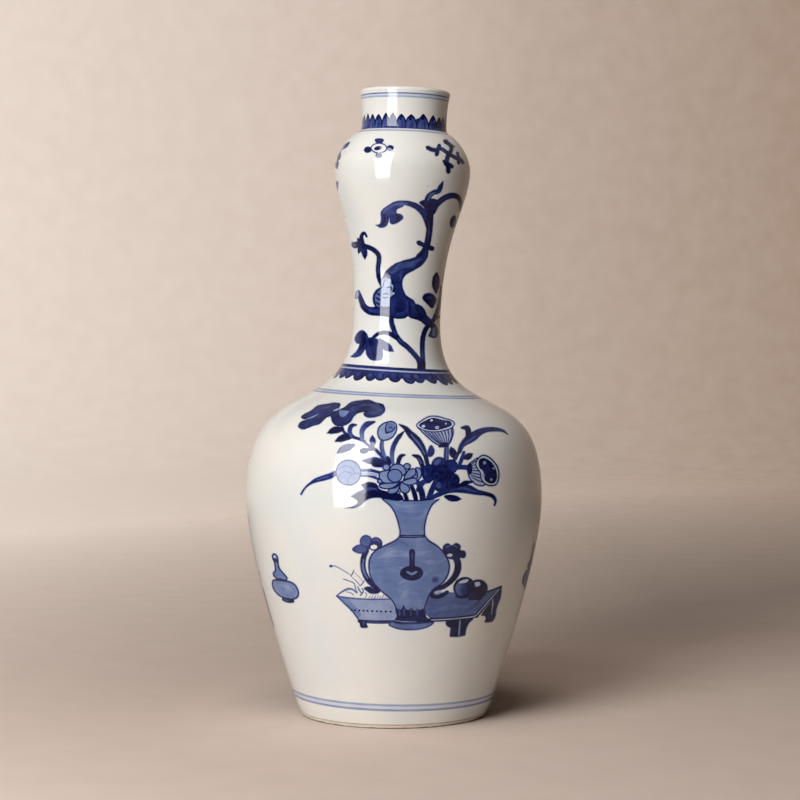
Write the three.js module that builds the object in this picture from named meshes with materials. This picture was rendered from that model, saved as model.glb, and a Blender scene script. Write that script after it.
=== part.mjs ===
// Garlic-mouth vase: porcelain sections thrown one by one and luted together with clay slip.
// Millimetres, +Z up, origin at the centre of the foot's contact face.
import * as THREE from 'three';

// Rises, each measured from the station below it
const HEEL_RISE = 7.5; // contact face of the foot to the heel
const LOWER_BODY_RISE = 132; // heel to the widest line of the belly
const SHOULDER_RISE = 114.5; // widest line of the belly to the waist of the neck
const THROAT_RISE = 94; // waist of the neck to the widest line of the bulb
const BULB_TOP_RISE = 24; // widest line of the bulb to the root of the collar
const COLLAR_RISE = 24.3; // root of the collar to the spring of the lip

// Outside radii at those stations
const FOOT_RADIUS = 59.6;
const HEEL_RADIUS = 62.6;
const BELLY_RADIUS = 94.6;
const WAIST_RADIUS = 27.5;
const BULB_RADIUS = 43.1;
const COLLAR_RADIUS = 26.8;
const RIM_RADIUS = 28.4;

// Wall thicknesses at those stations, the rim's being the width of the lip
const HEEL_WALL = 7.5;
const BELLY_WALL = 5.5;
const WAIST_WALL = 4.5;
const BULB_WALL = 4.2;
const RIM_WALL = 3.6;

// Foot ring and floor
const FOOT_RING_WIDTH = 4.6;
const RECESS_DEPTH = 6.5;
const RECESS_TAPER = 1.5;
const FLOOR_THICKNESS = 6.5;
const FLOOR_FILLET = 9;

// How far each curve holds the direction of its station, as a share of its rise
const HEEL_FLARE = 0.32; // outward run of the wall for each millimetre up, at the heel
const HEEL_HOLD = 0.19;
const BELLY_UNDER_HOLD = 0.263;
const BELLY_OVER_HOLD = 0.748;
const WAIST_UNDER_HOLD = 0.651;
const WAIST_OVER_HOLD = 0.602;
const BULB_UNDER_HOLD = 0.244;
const BULB_OVER_HOLD = 0.375;
const BULB_TOP_HOLD = 0.375; // share of the step from the bulb in to the collar
const BULB_TOP_FALL = 26.5; // slope of the bulb where it meets the collar, in degrees
const COLLAR_FILLET = 3;
const COLLAR_HOLD = 0.35;
const RIM_FLARE = 0.2; // outward run of the collar for each millimetre up, at the rim

// Luted joints
const NECK_ROOT_DROP = 38; // waist of the neck down to the joint with the shoulder
const BULB_ROOT_DROP = 52; // widest line of the bulb down to the joint with the neck
const SLIP_THICKNESS = 1;
const JOINT_CLEARANCE = 0.05;

// The neck sank a little to one side in the kiln
const NECK_LEAN = 2.1; // degrees from upright, towards +X
const LEAN_RISE = 40; // widest line of the belly to where the lean begins
const LEAN_LENGTH = 40; // height over which it grows

// Fineness of the turned surfaces
const SIDES = 40;
const RING_SPACING = 8;
const FILLET_STEPS = 4;
const LEAST_RING = 0.5;

// Stations as heights above the contact face
const heelHeight = HEEL_RISE;
const bellyHeight = heelHeight + LOWER_BODY_RISE;
const waistHeight = bellyHeight + SHOULDER_RISE;
const bulbHeight = waistHeight + THROAT_RISE;
const collarHeight = bulbHeight + BULB_TOP_RISE;
const rimHeight = collarHeight + COLLAR_RISE;
const floorHeight = RECESS_DEPTH + FLOOR_THICKNESS;

// Heights of the luted joints
const baseJoint = floorHeight + FLOOR_FILLET;
const shoulderJoint = waistHeight - NECK_ROOT_DROP;
const neckJoint = bulbHeight - BULB_ROOT_DROP;
const collarJoint = collarHeight + COLLAR_FILLET;

// The outside line of the wall, from the foot to the spring of the lip
function outsideLine() {
  const line = new THREE.Path();
  line.moveTo(FOOT_RADIUS, 0);
  line.lineTo(HEEL_RADIUS, heelHeight);

  const heelRun = HEEL_HOLD * LOWER_BODY_RISE;
  line.bezierCurveTo(
    HEEL_RADIUS + HEEL_FLARE * heelRun, heelHeight + heelRun,
    BELLY_RADIUS, bellyHeight - BELLY_UNDER_HOLD * LOWER_BODY_RISE,
    BELLY_RADIUS, bellyHeight,
  );
  line.bezierCurveTo(
    BELLY_RADIUS, bellyHeight + BELLY_OVER_HOLD * SHOULDER_RISE,
    WAIST_RADIUS, waistHeight - WAIST_UNDER_HOLD * SHOULDER_RISE,
    WAIST_RADIUS, waistHeight,
  );
  line.bezierCurveTo(
    WAIST_RADIUS, waistHeight + WAIST_OVER_HOLD * THROAT_RISE,
    BULB_RADIUS, bulbHeight - BULB_UNDER_HOLD * THROAT_RISE,
    BULB_RADIUS, bulbHeight,
  );

  // The bulb closes in to the collar and turns up into it round a small fillet
  const corner = new THREE.Vector2(COLLAR_RADIUS, collarHeight);
  const fall = THREE.MathUtils.degToRad(BULB_TOP_FALL);
  const outAndDown = new THREE.Vector2(Math.cos(fall), -Math.sin(fall));
  const filletStart = corner.clone().addScaledVector(outAndDown, COLLAR_FILLET);
  const topRun = BULB_TOP_HOLD * (BULB_RADIUS - COLLAR_RADIUS);
  const topHandle = filletStart.clone().addScaledVector(outAndDown, topRun);
  line.bezierCurveTo(
    BULB_RADIUS, bulbHeight + BULB_OVER_HOLD * BULB_TOP_RISE,
    topHandle.x, topHandle.y,
    filletStart.x, filletStart.y,
  );
  line.quadraticCurveTo(corner.x, corner.y, COLLAR_RADIUS, collarHeight + COLLAR_FILLET);

  const collarRun = COLLAR_HOLD * (COLLAR_RISE - COLLAR_FILLET);
  line.bezierCurveTo(
    COLLAR_RADIUS, collarHeight + COLLAR_FILLET + collarRun,
    RIM_RADIUS - RIM_FLARE * collarRun, rimHeight - collarRun,
    RIM_RADIUS, rimHeight,
  );

  const points = line.curves.flatMap((curve) => {
    const steps = Math.max(FILLET_STEPS, Math.ceil(curve.getLength() / RING_SPACING));
    return curve.getSpacedPoints(steps).slice(1);
  });
  return [new THREE.Vector2(FOOT_RADIUS, 0), ...points];
}

// Thickness of the wall at a height, eased from station to station
function wallThickness(height) {
  const stations = [
    [heelHeight, HEEL_WALL],
    [bellyHeight, BELLY_WALL],
    [waistHeight, WAIST_WALL],
    [bulbHeight, BULB_WALL],
    [rimHeight, RIM_WALL],
  ];
  let thickness = HEEL_WALL;
  for (let i = 1; i < stations.length; i += 1) {
    const [low, lowWall] = stations[i - 1];
    const [high, highWall] = stations[i];
    thickness += (highWall - lowWall) * THREE.MathUtils.smoothstep(height, low, high);
  }
  return thickness;
}

// The inside line lies one wall thickness in from the outside line, square to it
function insideLine(outside) {
  const last = outside.length - 1;
  return outside.map((point, i) => {
    const before = outside[Math.max(i - 1, 0)];
    const after = outside[Math.min(i + 1, last)];
    const along = after.clone().sub(before).normalize();
    const inward = new THREE.Vector2(-along.y, along.x);
    return point.clone().addScaledVector(inward, wallThickness(point.y));
  });
}

// The point where a wall line crosses a height
function atHeight(line, height) {
  const next = line.findIndex((point) => point.y >= height);
  const above = line[next];
  const below = line[Math.max(next - 1, 0)];
  const share = above === below ? 0 : (height - below.y) / (above.y - below.y);
  return below.clone().lerp(above, share);
}

// The stretch of a wall line between two heights, cut level at both ends
function stretch(line, low, high) {
  const between = line.filter((point) => point.y > low + LEAST_RING && point.y < high - LEAST_RING);
  return [atHeight(line, low), ...between, atHeight(line, high)];
}

// Where the leaning axis passes at a height, and how far it is turned there
function axisAt(height) {
  const slope = Math.tan(THREE.MathUtils.degToRad(NECK_LEAN));
  const over = height - bellyHeight - LEAN_RISE;
  const grown = THREE.MathUtils.clamp(over / LEAN_LENGTH, 0, 1);
  const straight = Math.max(over - LEAN_LENGTH, 0);
  return {
    x: slope * (grown * grown * LEAN_LENGTH / 2 + straight),
    turn: Math.atan(slope * grown),
  };
}

// A closed outline of radii and heights turned about the leaning axis
function turned(outline) {
  const geometry = new THREE.LatheGeometry(outline, SIDES);
  geometry.rotateX(Math.PI / 2);
  const position = geometry.attributes.position;
  for (let i = 0; i < position.count; i += 1) {
    const out = position.getX(i);
    const height = position.getZ(i);
    const axis = axisAt(height);
    position.setX(i, axis.x + out * Math.cos(axis.turn));
    position.setZ(i, height - out * Math.sin(axis.turn));
  }
  geometry.computeVertexNormals();
  return geometry;
}

// A ring of wall between two heights
function wallRing(low, high) {
  const ring = [...stretch(outside, low, high), ...stretch(inside, low, high).reverse()];
  return turned([...ring, ring[0]]);
}

// A thrown section between two luted joints
function section(lowJoint, highJoint) {
  const back = SLIP_THICKNESS / 2 + JOINT_CLEARANCE;
  return wallRing(lowJoint + back, highJoint - back);
}

// The slip that joins two sections
function slip(joint) {
  return wallRing(joint - SLIP_THICKNESS / 2, joint + SLIP_THICKNESS / 2);
}

// The foot ring with the recess inside it, the floor, and the heel up to the first joint
function footAndBase() {
  const top = baseJoint - SLIP_THICKNESS / 2 - JOINT_CLEARANCE;
  const ringInside = FOOT_RADIUS - FOOT_RING_WIDTH;
  const wallInside = atHeight(inside, top);
  const floorFillet = new THREE.QuadraticBezierCurve(
    wallInside,
    new THREE.Vector2(wallInside.x - HEEL_FLARE * FLOOR_FILLET, floorHeight),
    new THREE.Vector2(wallInside.x - FLOOR_FILLET, floorHeight),
  );
  return turned([
    new THREE.Vector2(0, RECESS_DEPTH),
    new THREE.Vector2(ringInside - RECESS_TAPER, RECESS_DEPTH),
    new THREE.Vector2(ringInside, 0),
    ...stretch(outside, 0, top),
    ...floorFillet.getPoints(FILLET_STEPS),
    new THREE.Vector2(0, floorHeight),
  ]);
}

// The collar, ending in a half-round lip
function mouthCollar() {
  const low = collarJoint + SLIP_THICKNESS / 2 + JOINT_CLEARANCE;
  const lipRadius = RIM_WALL / 2;
  const outer = stretch(outside, low, rimHeight);
  const inner = outer.map((point) => new THREE.Vector2(point.x - wallThickness(point.y), point.y));
  const lip = new THREE.Path();
  lip.absarc(RIM_RADIUS - lipRadius, rimHeight, lipRadius, 0, Math.PI, false);
  const arc = lip.getSpacedPoints(2 * FILLET_STEPS).slice(1, -1);
  const ring = [...outer, ...arc, ...inner.reverse()];
  return turned([...ring, ring[0]]);
}

const outside = outsideLine();
const inside = insideLine(outside);

const glazed = { color: 0xe6e4dc, roughness: 0.16, metalness: 0 };
const biscuit = { color: 0xdccdb2, roughness: 0.75, metalness: 0 };
const vase = new THREE.Group();

function addPiece(name, geometry, finish) {
  const piece = new THREE.Mesh(geometry, new THREE.MeshStandardMaterial(finish));
  piece.name = name;
  vase.add(piece);
}

addPiece('foot_and_base', footAndBase(), glazed);
addPiece('base_slip', slip(baseJoint), biscuit);
addPiece('lower_body', section(baseJoint, bellyHeight), glazed);
addPiece('belly_slip', slip(bellyHeight), biscuit);
addPiece('upper_body', section(bellyHeight, shoulderJoint), glazed);
addPiece('shoulder_slip', slip(shoulderJoint), biscuit);
addPiece('neck', section(shoulderJoint, neckJoint), glazed);
addPiece('neck_slip', slip(neckJoint), biscuit);
addPiece('garlic_bulb', section(neckJoint, collarJoint), glazed);
addPiece('collar_slip', slip(collarJoint), biscuit);
addPiece('mouth_collar', mouthCollar(), glazed);

export default vase;
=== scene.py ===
"""Garlic-mouth vase in underglaze blue: its painted porcelain sections and its studio."""
import math

import bpy
import numpy as np
from mathutils import Color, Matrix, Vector
from mathutils.geometry import delaunay_2d_cdt


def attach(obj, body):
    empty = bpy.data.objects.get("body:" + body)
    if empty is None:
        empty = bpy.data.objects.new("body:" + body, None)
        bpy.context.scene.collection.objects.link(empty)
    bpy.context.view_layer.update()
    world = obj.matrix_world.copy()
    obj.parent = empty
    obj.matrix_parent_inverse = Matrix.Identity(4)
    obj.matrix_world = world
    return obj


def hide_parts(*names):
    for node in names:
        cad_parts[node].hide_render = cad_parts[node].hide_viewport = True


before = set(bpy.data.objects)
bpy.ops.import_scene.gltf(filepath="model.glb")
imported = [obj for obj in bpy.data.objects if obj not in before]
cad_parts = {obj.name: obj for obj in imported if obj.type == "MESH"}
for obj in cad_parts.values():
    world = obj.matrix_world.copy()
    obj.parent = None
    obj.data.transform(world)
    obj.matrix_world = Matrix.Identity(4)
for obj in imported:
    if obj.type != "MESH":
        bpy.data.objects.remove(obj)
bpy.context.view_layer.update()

bl_info = {
    "name": "Garlic-mouth vase",
    "version": (1, 0, 0),
    "blender": (4, 5, 0),
    "location": "View3D > Sidebar > Vase",
    "description": "Throws, paints and glazes a blue-and-white garlic-mouth vase and sets up its studio",
    "category": "Object",
}

MM = 0.001

# Columns round a section, the spacing of its rows and the turn of the wall from row to row
COLUMNS = 144
HIDDEN_COLUMNS = 48
PAINTED_SPACING = 2.4 * MM
HIDDEN_SPACING = 8 * MM
ROW_TURN = math.radians(6)

# Points along a curve of the wall and along a short one
LINE_POINTS = 160
SHORT_POINTS = 40

# Where a section's surface closes on itself, how near its points are joined, and the least divisor
SEAM = math.radians(-110)
WELD = 1e-6
CHART_SNAP = 2e-6
TINY = 1e-9

# A section's flat map: its margin and width, and the lower edges and heights of its strips
MAP_MARGIN, MAP_WIDE = 0.01, 0.98
MAP_BACK, MAP_REST = 0.43, 0.86
MAP_TALL, MAP_REST_TALL = 0.4, 0.13

# Drawing step along a painted edge, in millimetres, and the share of the wall's half width it may reach
BRUSH_STEP = 0.9
LIMB_SHARE = 0.9995

# Place that the brushwork was drawn from and the camera's place that it is carried over to, and the
# share of a wall's radius by which a line round it stands towards the camera
DRAWN_DISTANCE, DRAWN_HEIGHT = 1779.6 * MM, 274.3 * MM
VIEW_DISTANCE, VIEW_HEIGHT = 1360 * MM, 250 * MM
BAND_SHARE = 0.8

# How far the lamp that only shows in the glaze stands behind the softbox
SHEEN_STEP = 10 * MM

# Width of the camera's sensor, in millimetres
SENSOR_WIDTH = 36

# Radius of the paper's middle face and the number of rows on its floor
SWEEP_HUB = 0.1
SWEEP_ROWS = 12

# How far dark cobalt bleeds into the glaze, in millimetres, and how strong it is at the mark's edge
BLEED = 0.8
BLEED_SHARE = 0.3
BLED = -1.0

# Half width of a collar petal, in millimetres for each degree between its neighbours
PETAL_SHARE = 0.118

# Tones of the cobalt, from bare porcelain to the darkest line
BARE, FAINT, PALE, WASH, MID, DEEP, DARK = 0.0, 0.16, 0.3, 0.45, 0.62, 0.85, 1.0


def size(name, description, millimetres):
    """A length that the sidebar shows, given in millimetres."""
    return bpy.props.FloatProperty(
        name=name, description=description, default=millimetres * MM, unit="LENGTH", precision=5
    )


def share(name, description, value, unit="NONE"):
    """A plain number such as a share, a slope or a strength, or one with a unit of its own."""
    return bpy.props.FloatProperty(
        name=name, description=description, default=value, unit=unit, precision=3
    )


def angle(name, description, degrees):
    """An angle, given in degrees."""
    return bpy.props.FloatProperty(
        name=name, description=description, default=math.radians(degrees), unit="ROTATION"
    )


def colour(name, description, red, green, blue):
    """A colour, given as the 0 to 255 values that a screen shows."""
    linear = [screen_to_linear(value / 255) for value in (red, green, blue)]
    return bpy.props.FloatVectorProperty(
        name=name, description=description, default=linear, subtype="COLOR", min=0, max=1
    )


def screen_to_linear(value):
    """The linear light of one screen colour value from 0 to 1."""
    return value / 12.92 if value <= 0.04045 else ((value + 0.055) / 1.055) ** 2.4


class VaseShape(bpy.types.PropertyGroup):
    """Sizes of the thrown wall, the same as in the solid model."""

    heel_rise: size("Heel rise", "Contact face of the foot to the heel", 7.5)
    lower_body_rise: size("Lower body rise", "Heel to the widest line of the belly", 132)
    shoulder_rise: size("Shoulder rise", "Widest line of the belly to the waist of the neck", 114.5)
    throat_rise: size("Throat rise", "Waist of the neck to the widest line of the bulb", 94)
    bulb_top_rise: size("Bulb top rise", "Widest line of the bulb to the root of the collar", 24)
    collar_rise: size("Collar rise", "Root of the collar to the spring of the lip", 24.3)
    foot_radius: size("Foot radius", "Outside of the contact ring", 59.6)
    heel_radius: size("Heel radius", "Outside of the heel", 62.6)
    belly_radius: size("Belly radius", "Outside of the widest line", 94.6)
    waist_radius: size("Waist radius", "Outside of the neck at its waist", 27.5)
    bulb_radius: size("Bulb radius", "Outside of the garlic bulb", 43.1)
    collar_radius: size("Collar radius", "Outside of the collar at its root", 26.8)
    rim_radius: size("Rim radius", "Outside of the collar at the lip", 28.4)
    heel_wall: size("Heel wall", "Thickness of the wall at the heel", 7.5)
    belly_wall: size("Belly wall", "Thickness of the wall at the widest line", 5.5)
    waist_wall: size("Waist wall", "Thickness of the wall at the waist", 4.5)
    bulb_wall: size("Bulb wall", "Thickness of the wall at the bulb", 4.2)
    rim_wall: size("Rim wall", "Width of the lip", 3.6)
    foot_ring_width: size("Foot ring width", "Width of the contact ring", 4.6)
    recess_depth: size("Recess depth", "Depth of the hollow inside the foot ring", 6.5)
    recess_taper: size("Recess taper", "Run of the hollow's side over its depth", 1.5)
    floor_thickness: size("Floor thickness", "Thickness of the floor of the vase", 6.5)
    floor_fillet: size("Floor fillet", "Run of the curve from the floor to the wall", 9)
    collar_fillet: size("Collar fillet", "Run of the curve from the bulb to the collar", 3)
    heel_flare: share("Heel flare", "Outward run of the wall for each unit up, at the heel", 0.32)
    heel_hold: share("Heel hold", "How far the wall holds its direction above the heel", 0.19)
    belly_under_hold: share("Belly under hold", "How far the wall holds upright below the belly", 0.263)
    belly_over_hold: share("Belly over hold", "How far the wall holds upright above the belly", 0.748)
    waist_under_hold: share("Waist under hold", "How far the neck holds upright below its waist", 0.651)
    waist_over_hold: share("Waist over hold", "How far the neck holds upright above its waist", 0.602)
    bulb_under_hold: share("Bulb under hold", "How far the bulb holds upright below its widest line", 0.244)
    bulb_over_hold: share("Bulb over hold", "How far the bulb holds upright above its widest line", 0.375)
    bulb_top_hold: share("Bulb top hold", "How far the bulb holds its slope out from the collar", 0.375)
    bulb_top_fall: angle("Bulb top fall", "Slope of the bulb where it meets the collar", 26.5)
    collar_hold: share("Collar hold", "How far the collar holds its direction at both ends", 0.35)
    rim_flare: share("Rim flare", "Outward run of the collar for each unit up, at the rim", 0.2)
    neck_root_drop: size("Neck root drop", "Waist of the neck down to its joint with the shoulder", 38)
    bulb_root_drop: size("Bulb root drop", "Widest line of the bulb down to its joint with the neck", 52)
    slip_thickness: size("Slip thickness", "Thickness of the slip in a luted joint", 1)
    joint_clearance: size("Joint clearance", "Gap between the slip and what lies round it", 0.05)
    neck_lean: angle("Neck lean", "Lean of the neck from upright", 2.1)
    lean_rise: size("Lean rise", "Widest line of the belly to where the lean begins", 40)
    lean_length: size("Lean length", "Height over which the lean grows", 40)


class VaseGlaze(bpy.types.PropertyGroup):
    """The glaze and the colours of the fired vase."""

    thickness: size("Glaze thickness", "How far the glaze stands proud of the clay", 0.25)
    bare_height: size("Bare height", "Height above the contact face at which the glaze ends", 3.0)
    edge_round: size("Edge rounding", "Rounding of the foot ring's edges", 0.6)
    porcelain: colour("Porcelain", "White of the glazed porcelain", 233, 232, 226)
    porcelain_cloud: colour("Porcelain cloud", "Cooler white where the glaze lies thicker", 225, 228, 226)
    speck: colour("Speck", "Iron specks and pits in the glaze", 128, 116, 104)
    faint_blue: colour("Faint blue", "Thinnest wash of the cobalt", 188, 199, 221)
    wash_blue: colour("Wash blue", "Middle wash of the cobalt", 100, 121, 170)
    deep_blue: colour("Deep blue", "Thick wash of the cobalt", 34, 48, 114)
    dark_blue: colour("Dark blue", "Cobalt where it lies thickest", 9, 15, 60)
    biscuit: colour("Biscuit", "Bare clay of the foot ring", 222, 214, 200)
    biscuit_stain: colour("Biscuit stain", "Brown that the bare clay takes up", 158, 132, 106)
    # Painted shade: a dark line on the foot ring's lowest outer edge, for the shadow where the foot meets
    # the floor
    contact_shade: colour("Contact shade", "Dark line of grime on the foot ring's outer edge", 62, 48, 40)
    slip: colour("Slip", "Fired slip in the joints", 222, 212, 190)


class VaseStudio(bpy.types.PropertyGroup):
    """The camera, the lamps and the paper sweep."""

    camera_distance: size("Camera distance", "Camera to the axis of the vase, along Y", 1360)
    camera_height: size("Camera height", "Height of the camera", 250)
    camera_side: size("Camera side", "Camera's place to the right of the axis", 3.85)
    aim_height: size("Aim height", "Height on the axis that the camera looks at", 200.9)
    lens: share("Lens", "Focal length of the camera in millimetres", 95.45, "CAMERA")
    key_turn: angle("Key turn", "Softbox's angle to the left of the camera", 33)
    key_distance: size("Key distance", "Softbox to the axis of the vase", 1250)
    key_height: size("Key height", "Height of the softbox's middle", 700)
    key_width: size("Key width", "Width of the softbox", 640)
    key_tall: size("Key face height", "Height of the softbox's face", 1440)
    key_power: share("Key power", "Watts of the softbox", 17.9, "POWER")
    sheen_share: share("Sheen share", "How much more the softbox shows in the glaze", 0.7)
    top_turn: angle("Top turn", "Top screen's angle to the left of the camera", 20)
    top_distance: size("Top distance", "Top screen to the axis of the vase", 500)
    top_height: size("Top height", "Height of the top screen's middle", 2000)
    top_width: size("Top width", "Side of the square top screen", 1000)
    top_power: share("Top power", "Watts of the top screen", 11.3, "POWER")
    top_tint: colour("Top tint", "Colour of the top screen's light", 255, 241, 231)
    ambient: share("Ambient", "Strength of the light from all round", 0.01)
    ceiling: share("Ceiling", "Strength of the pale ceiling that the glaze mirrors", 0.4)
    ambient_tint: colour("Ambient tint", "Colour of the light from all round", 240, 220, 205)
    sweep_radius: size("Sweep radius", "Axis of the vase to the upright of the paper sweep", 2600)
    sweep_bend: size("Sweep bend", "Radius of the bend from the floor to the upright", 500)
    sweep_height: size("Sweep height", "Height of the upright", 1300)
    # The glow is painted light: the far paper emits for the camera and the glaze, brightest at the left
    glow_start: size("Glow start", "How far out the paper at the right begins to glow", 900)
    glow_end: size("Glow end", "How far out the paper at the right glows fully", 2200)
    glow_shift: size("Glow shift", "How much nearer the glow comes at the left", 1250)
    glow_span: size("Glow span", "Half of the width over which the glow falls off to the right", 885)
    mirror_depth: size("Mirror depth", "How far back the glaze mirrors the full glow", 1625)
    dim_start: size("Dim start", "How far out the paper begins to throw back less light", 450)
    dim_end: size("Dim end", "How far out the paper throws back least", 900)
    dim_share: share("Dim share", "Share of the light that the far paper doesn't throw back", 0.55)
    # The paper's shade is a painted shadow: its colour darkens behind the vase at the right
    shade_side: size("Shade side", "Distance to the right over which the paper's shade grows", 250)
    shade_depth: size("Shade depth", "Distance behind its slanting front over which it grows", 250)
    shade_share: share("Shade share", "Share of the light that the shaded paper loses", 0.43)
    mottle: share("Mottle", "Brightness of the paper's darker patches", 0.965)
    paper: colour("Paper", "Colour of the paper sweep", 224, 207, 195)
    glow_left: colour("Glow at the left", "Glow of the far paper at the left", 215, 204, 194)
    glow_right: colour("Glow at the right", "Glow of the far paper at the right", 138, 116, 99)


# The wall: its outside and inside lines, and the axis that they turn about


def bezier(start, leave, arrive, end):
    """Points along a cubic curve."""
    t = np.linspace(0, 1, LINE_POINTS)[:, None]
    start, leave, arrive, end = (np.array(point, float) for point in (start, leave, arrive, end))
    near = (1 - t) ** 3 * start + 3 * (1 - t) ** 2 * t * leave
    return near + 3 * (1 - t) * t**2 * arrive + t**3 * end


def arc(centre, radius, begin, finish):
    """Points along a round arc, from one angle to another."""
    turn = np.linspace(begin, finish, SHORT_POINTS)
    return np.array(centre) + radius * np.column_stack([np.cos(turn), np.sin(turn)])


def outward(points):
    """Unit normals to the right of a line of points."""
    along = np.gradient(points, axis=0)
    along /= np.linalg.norm(along, axis=1)[:, None]
    return np.column_stack([along[:, 1], -along[:, 0]])


class Wall:
    """The thrown wall in metres: radius and height of its lines, and the leaning axis."""

    def __init__(self, shape):
        self.shape = shape
        self.heel = shape.heel_rise
        self.belly = self.heel + shape.lower_body_rise
        self.waist = self.belly + shape.shoulder_rise
        self.bulb = self.waist + shape.throat_rise
        self.collar = self.bulb + shape.bulb_top_rise
        self.rim = self.collar + shape.collar_rise
        self.floor = shape.recess_depth + shape.floor_thickness
        self.base_joint = self.floor + shape.floor_fillet
        self.shoulder_joint = self.waist - shape.neck_root_drop
        self.neck_joint = self.bulb - shape.bulb_root_drop
        self.collar_joint = self.collar + shape.collar_fillet
        self.joint_back = shape.slip_thickness / 2 + shape.joint_clearance
        self.outside = self.outside_line()
        self.outside_normal = outward(self.outside)
        thickness = self.wall_thickness(self.outside[:, 1])
        self.inside = self.outside - self.outside_normal * thickness[:, None]
        self.inside_normal = -self.outside_normal

    def outside_line(self):
        """The outside line from the foot to the spring of the lip."""
        v = self.shape
        heel_run = v.heel_hold * v.lower_body_rise
        foot = np.linspace((v.foot_radius, 0), (v.heel_radius, self.heel), LINE_POINTS)
        lower = bezier(
            (v.heel_radius, self.heel),
            (v.heel_radius + v.heel_flare * heel_run, self.heel + heel_run),
            (v.belly_radius, self.belly - v.belly_under_hold * v.lower_body_rise),
            (v.belly_radius, self.belly),
        )
        shoulder = bezier(
            (v.belly_radius, self.belly),
            (v.belly_radius, self.belly + v.belly_over_hold * v.shoulder_rise),
            (v.waist_radius, self.waist - v.waist_under_hold * v.shoulder_rise),
            (v.waist_radius, self.waist),
        )
        throat = bezier(
            (v.waist_radius, self.waist),
            (v.waist_radius, self.waist + v.waist_over_hold * v.throat_rise),
            (v.bulb_radius, self.bulb - v.bulb_under_hold * v.throat_rise),
            (v.bulb_radius, self.bulb),
        )
        out_and_down = np.array([math.cos(v.bulb_top_fall), -math.sin(v.bulb_top_fall)])
        corner = np.array([v.collar_radius, self.collar])
        fillet_start = corner + v.collar_fillet * out_and_down
        fillet_end = np.array([v.collar_radius, self.collar_joint])
        bulb_top = bezier(
            (v.bulb_radius, self.bulb),
            (v.bulb_radius, self.bulb + v.bulb_over_hold * v.bulb_top_rise),
            fillet_start + v.bulb_top_hold * (v.bulb_radius - v.collar_radius) * out_and_down,
            fillet_start,
        )
        fillet = bezier(
            fillet_start, (fillet_start + 2 * corner) / 3, (fillet_end + 2 * corner) / 3, fillet_end
        )
        collar_run = v.collar_hold * (v.collar_rise - v.collar_fillet)
        collar = bezier(
            fillet_end,
            fillet_end + np.array([0, collar_run]),
            (v.rim_radius - v.rim_flare * collar_run, self.rim - collar_run),
            (v.rim_radius, self.rim),
        )
        rest = [curve[1:] for curve in (lower, shoulder, throat, bulb_top, fillet, collar)]
        return np.vstack([foot, *rest])

    def wall_thickness(self, height):
        """Thickness of the wall at each height, eased from station to station."""
        v = self.shape
        stations = [
            (self.heel, v.heel_wall),
            (self.belly, v.belly_wall),
            (self.waist, v.waist_wall),
            (self.bulb, v.bulb_wall),
            (self.rim, v.rim_wall),
        ]
        thickness = np.full(len(height), v.heel_wall)
        for (low, low_wall), (high, high_wall) in zip(stations, stations[1:]):
            t = np.clip((height - low) / (high - low), 0, 1)
            thickness += (high_wall - low_wall) * t * t * (3 - 2 * t)
        return thickness

    def radius(self, height):
        """Outside radius at each height."""
        return np.interp(height, self.outside[:, 1], self.outside[:, 0])

    def stretch(self, side, low, high, proud):
        """A line's points and normals between two heights, and the heights, standing proud of the clay."""
        line = getattr(self, side)
        normal = getattr(self, side + "_normal")
        between = line[(line[:, 1] > low) & (line[:, 1] < high), 1]
        heights = np.concatenate([[low], between, [high]])
        radii = np.interp(heights, line[:, 1], line[:, 0])
        normals = np.column_stack([np.interp(heights, line[:, 1], normal[:, i]) for i in (0, 1)])
        normals /= np.linalg.norm(normals, axis=1)[:, None]
        return np.column_stack([radii, heights]) + proud * normals, normals, heights

    def axis_at(self, height):
        """Where the leaning axis passes at each height, and how far it is turned there."""
        v = self.shape
        slope = math.tan(v.neck_lean)
        over = height - self.belly - v.lean_rise
        grown = np.clip(over / v.lean_length, 0, 1)
        straight = np.maximum(over - v.lean_length, 0)
        return slope * (grown**2 * v.lean_length / 2 + straight), np.arctan(slope * grown)

    def place(self, radius, height, turn):
        """Points in space of radii and heights at turn angles, 0 facing the front."""
        x, lean = self.axis_at(height)
        out = radius * np.sin(turn)
        return np.column_stack(
            [x + out * np.cos(lean), -radius * np.cos(turn), height - out * np.sin(lean)]
        )

    def direct(self, normal, height, turn):
        """Normals in space of profile normals at turn angles."""
        _, lean = self.axis_at(height)
        out = normal[:, 0] * np.sin(turn)
        up = normal[:, 1]
        return np.column_stack(
            [
                out * np.cos(lean) + up * np.sin(lean),
                -normal[:, 0] * np.cos(turn),
                up * np.cos(lean) - out * np.sin(lean),
            ]
        )


# Brushwork: shapes drawn in millimetres, right of the axis and up it, as seen from the front


def through(points, closed=False):
    """A smooth line through points; one with a third item of 1 is a sharp tip."""
    places = np.array([point[:2] for point in points], float)
    sharp = [len(point) > 2 for point in points]
    if closed:
        first = sharp.index(True) if any(sharp) else 0
        places = np.roll(places, -first, axis=0)
        sharp = sharp[first:] + sharp[:first]
        places = np.vstack([places, places[:1]])
        sharp = sharp + sharp[:1]
    looped = closed and not any(sharp)
    ends = [i for i, tip in enumerate(sharp) if tip or i in (0, len(sharp) - 1)]
    runs = [smooth_run(places[a : b + 1], looped) for a, b in zip(ends, ends[1:])]
    return np.vstack([run[:-1] for run in runs] + ([] if closed else [places[-1:]]))


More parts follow.
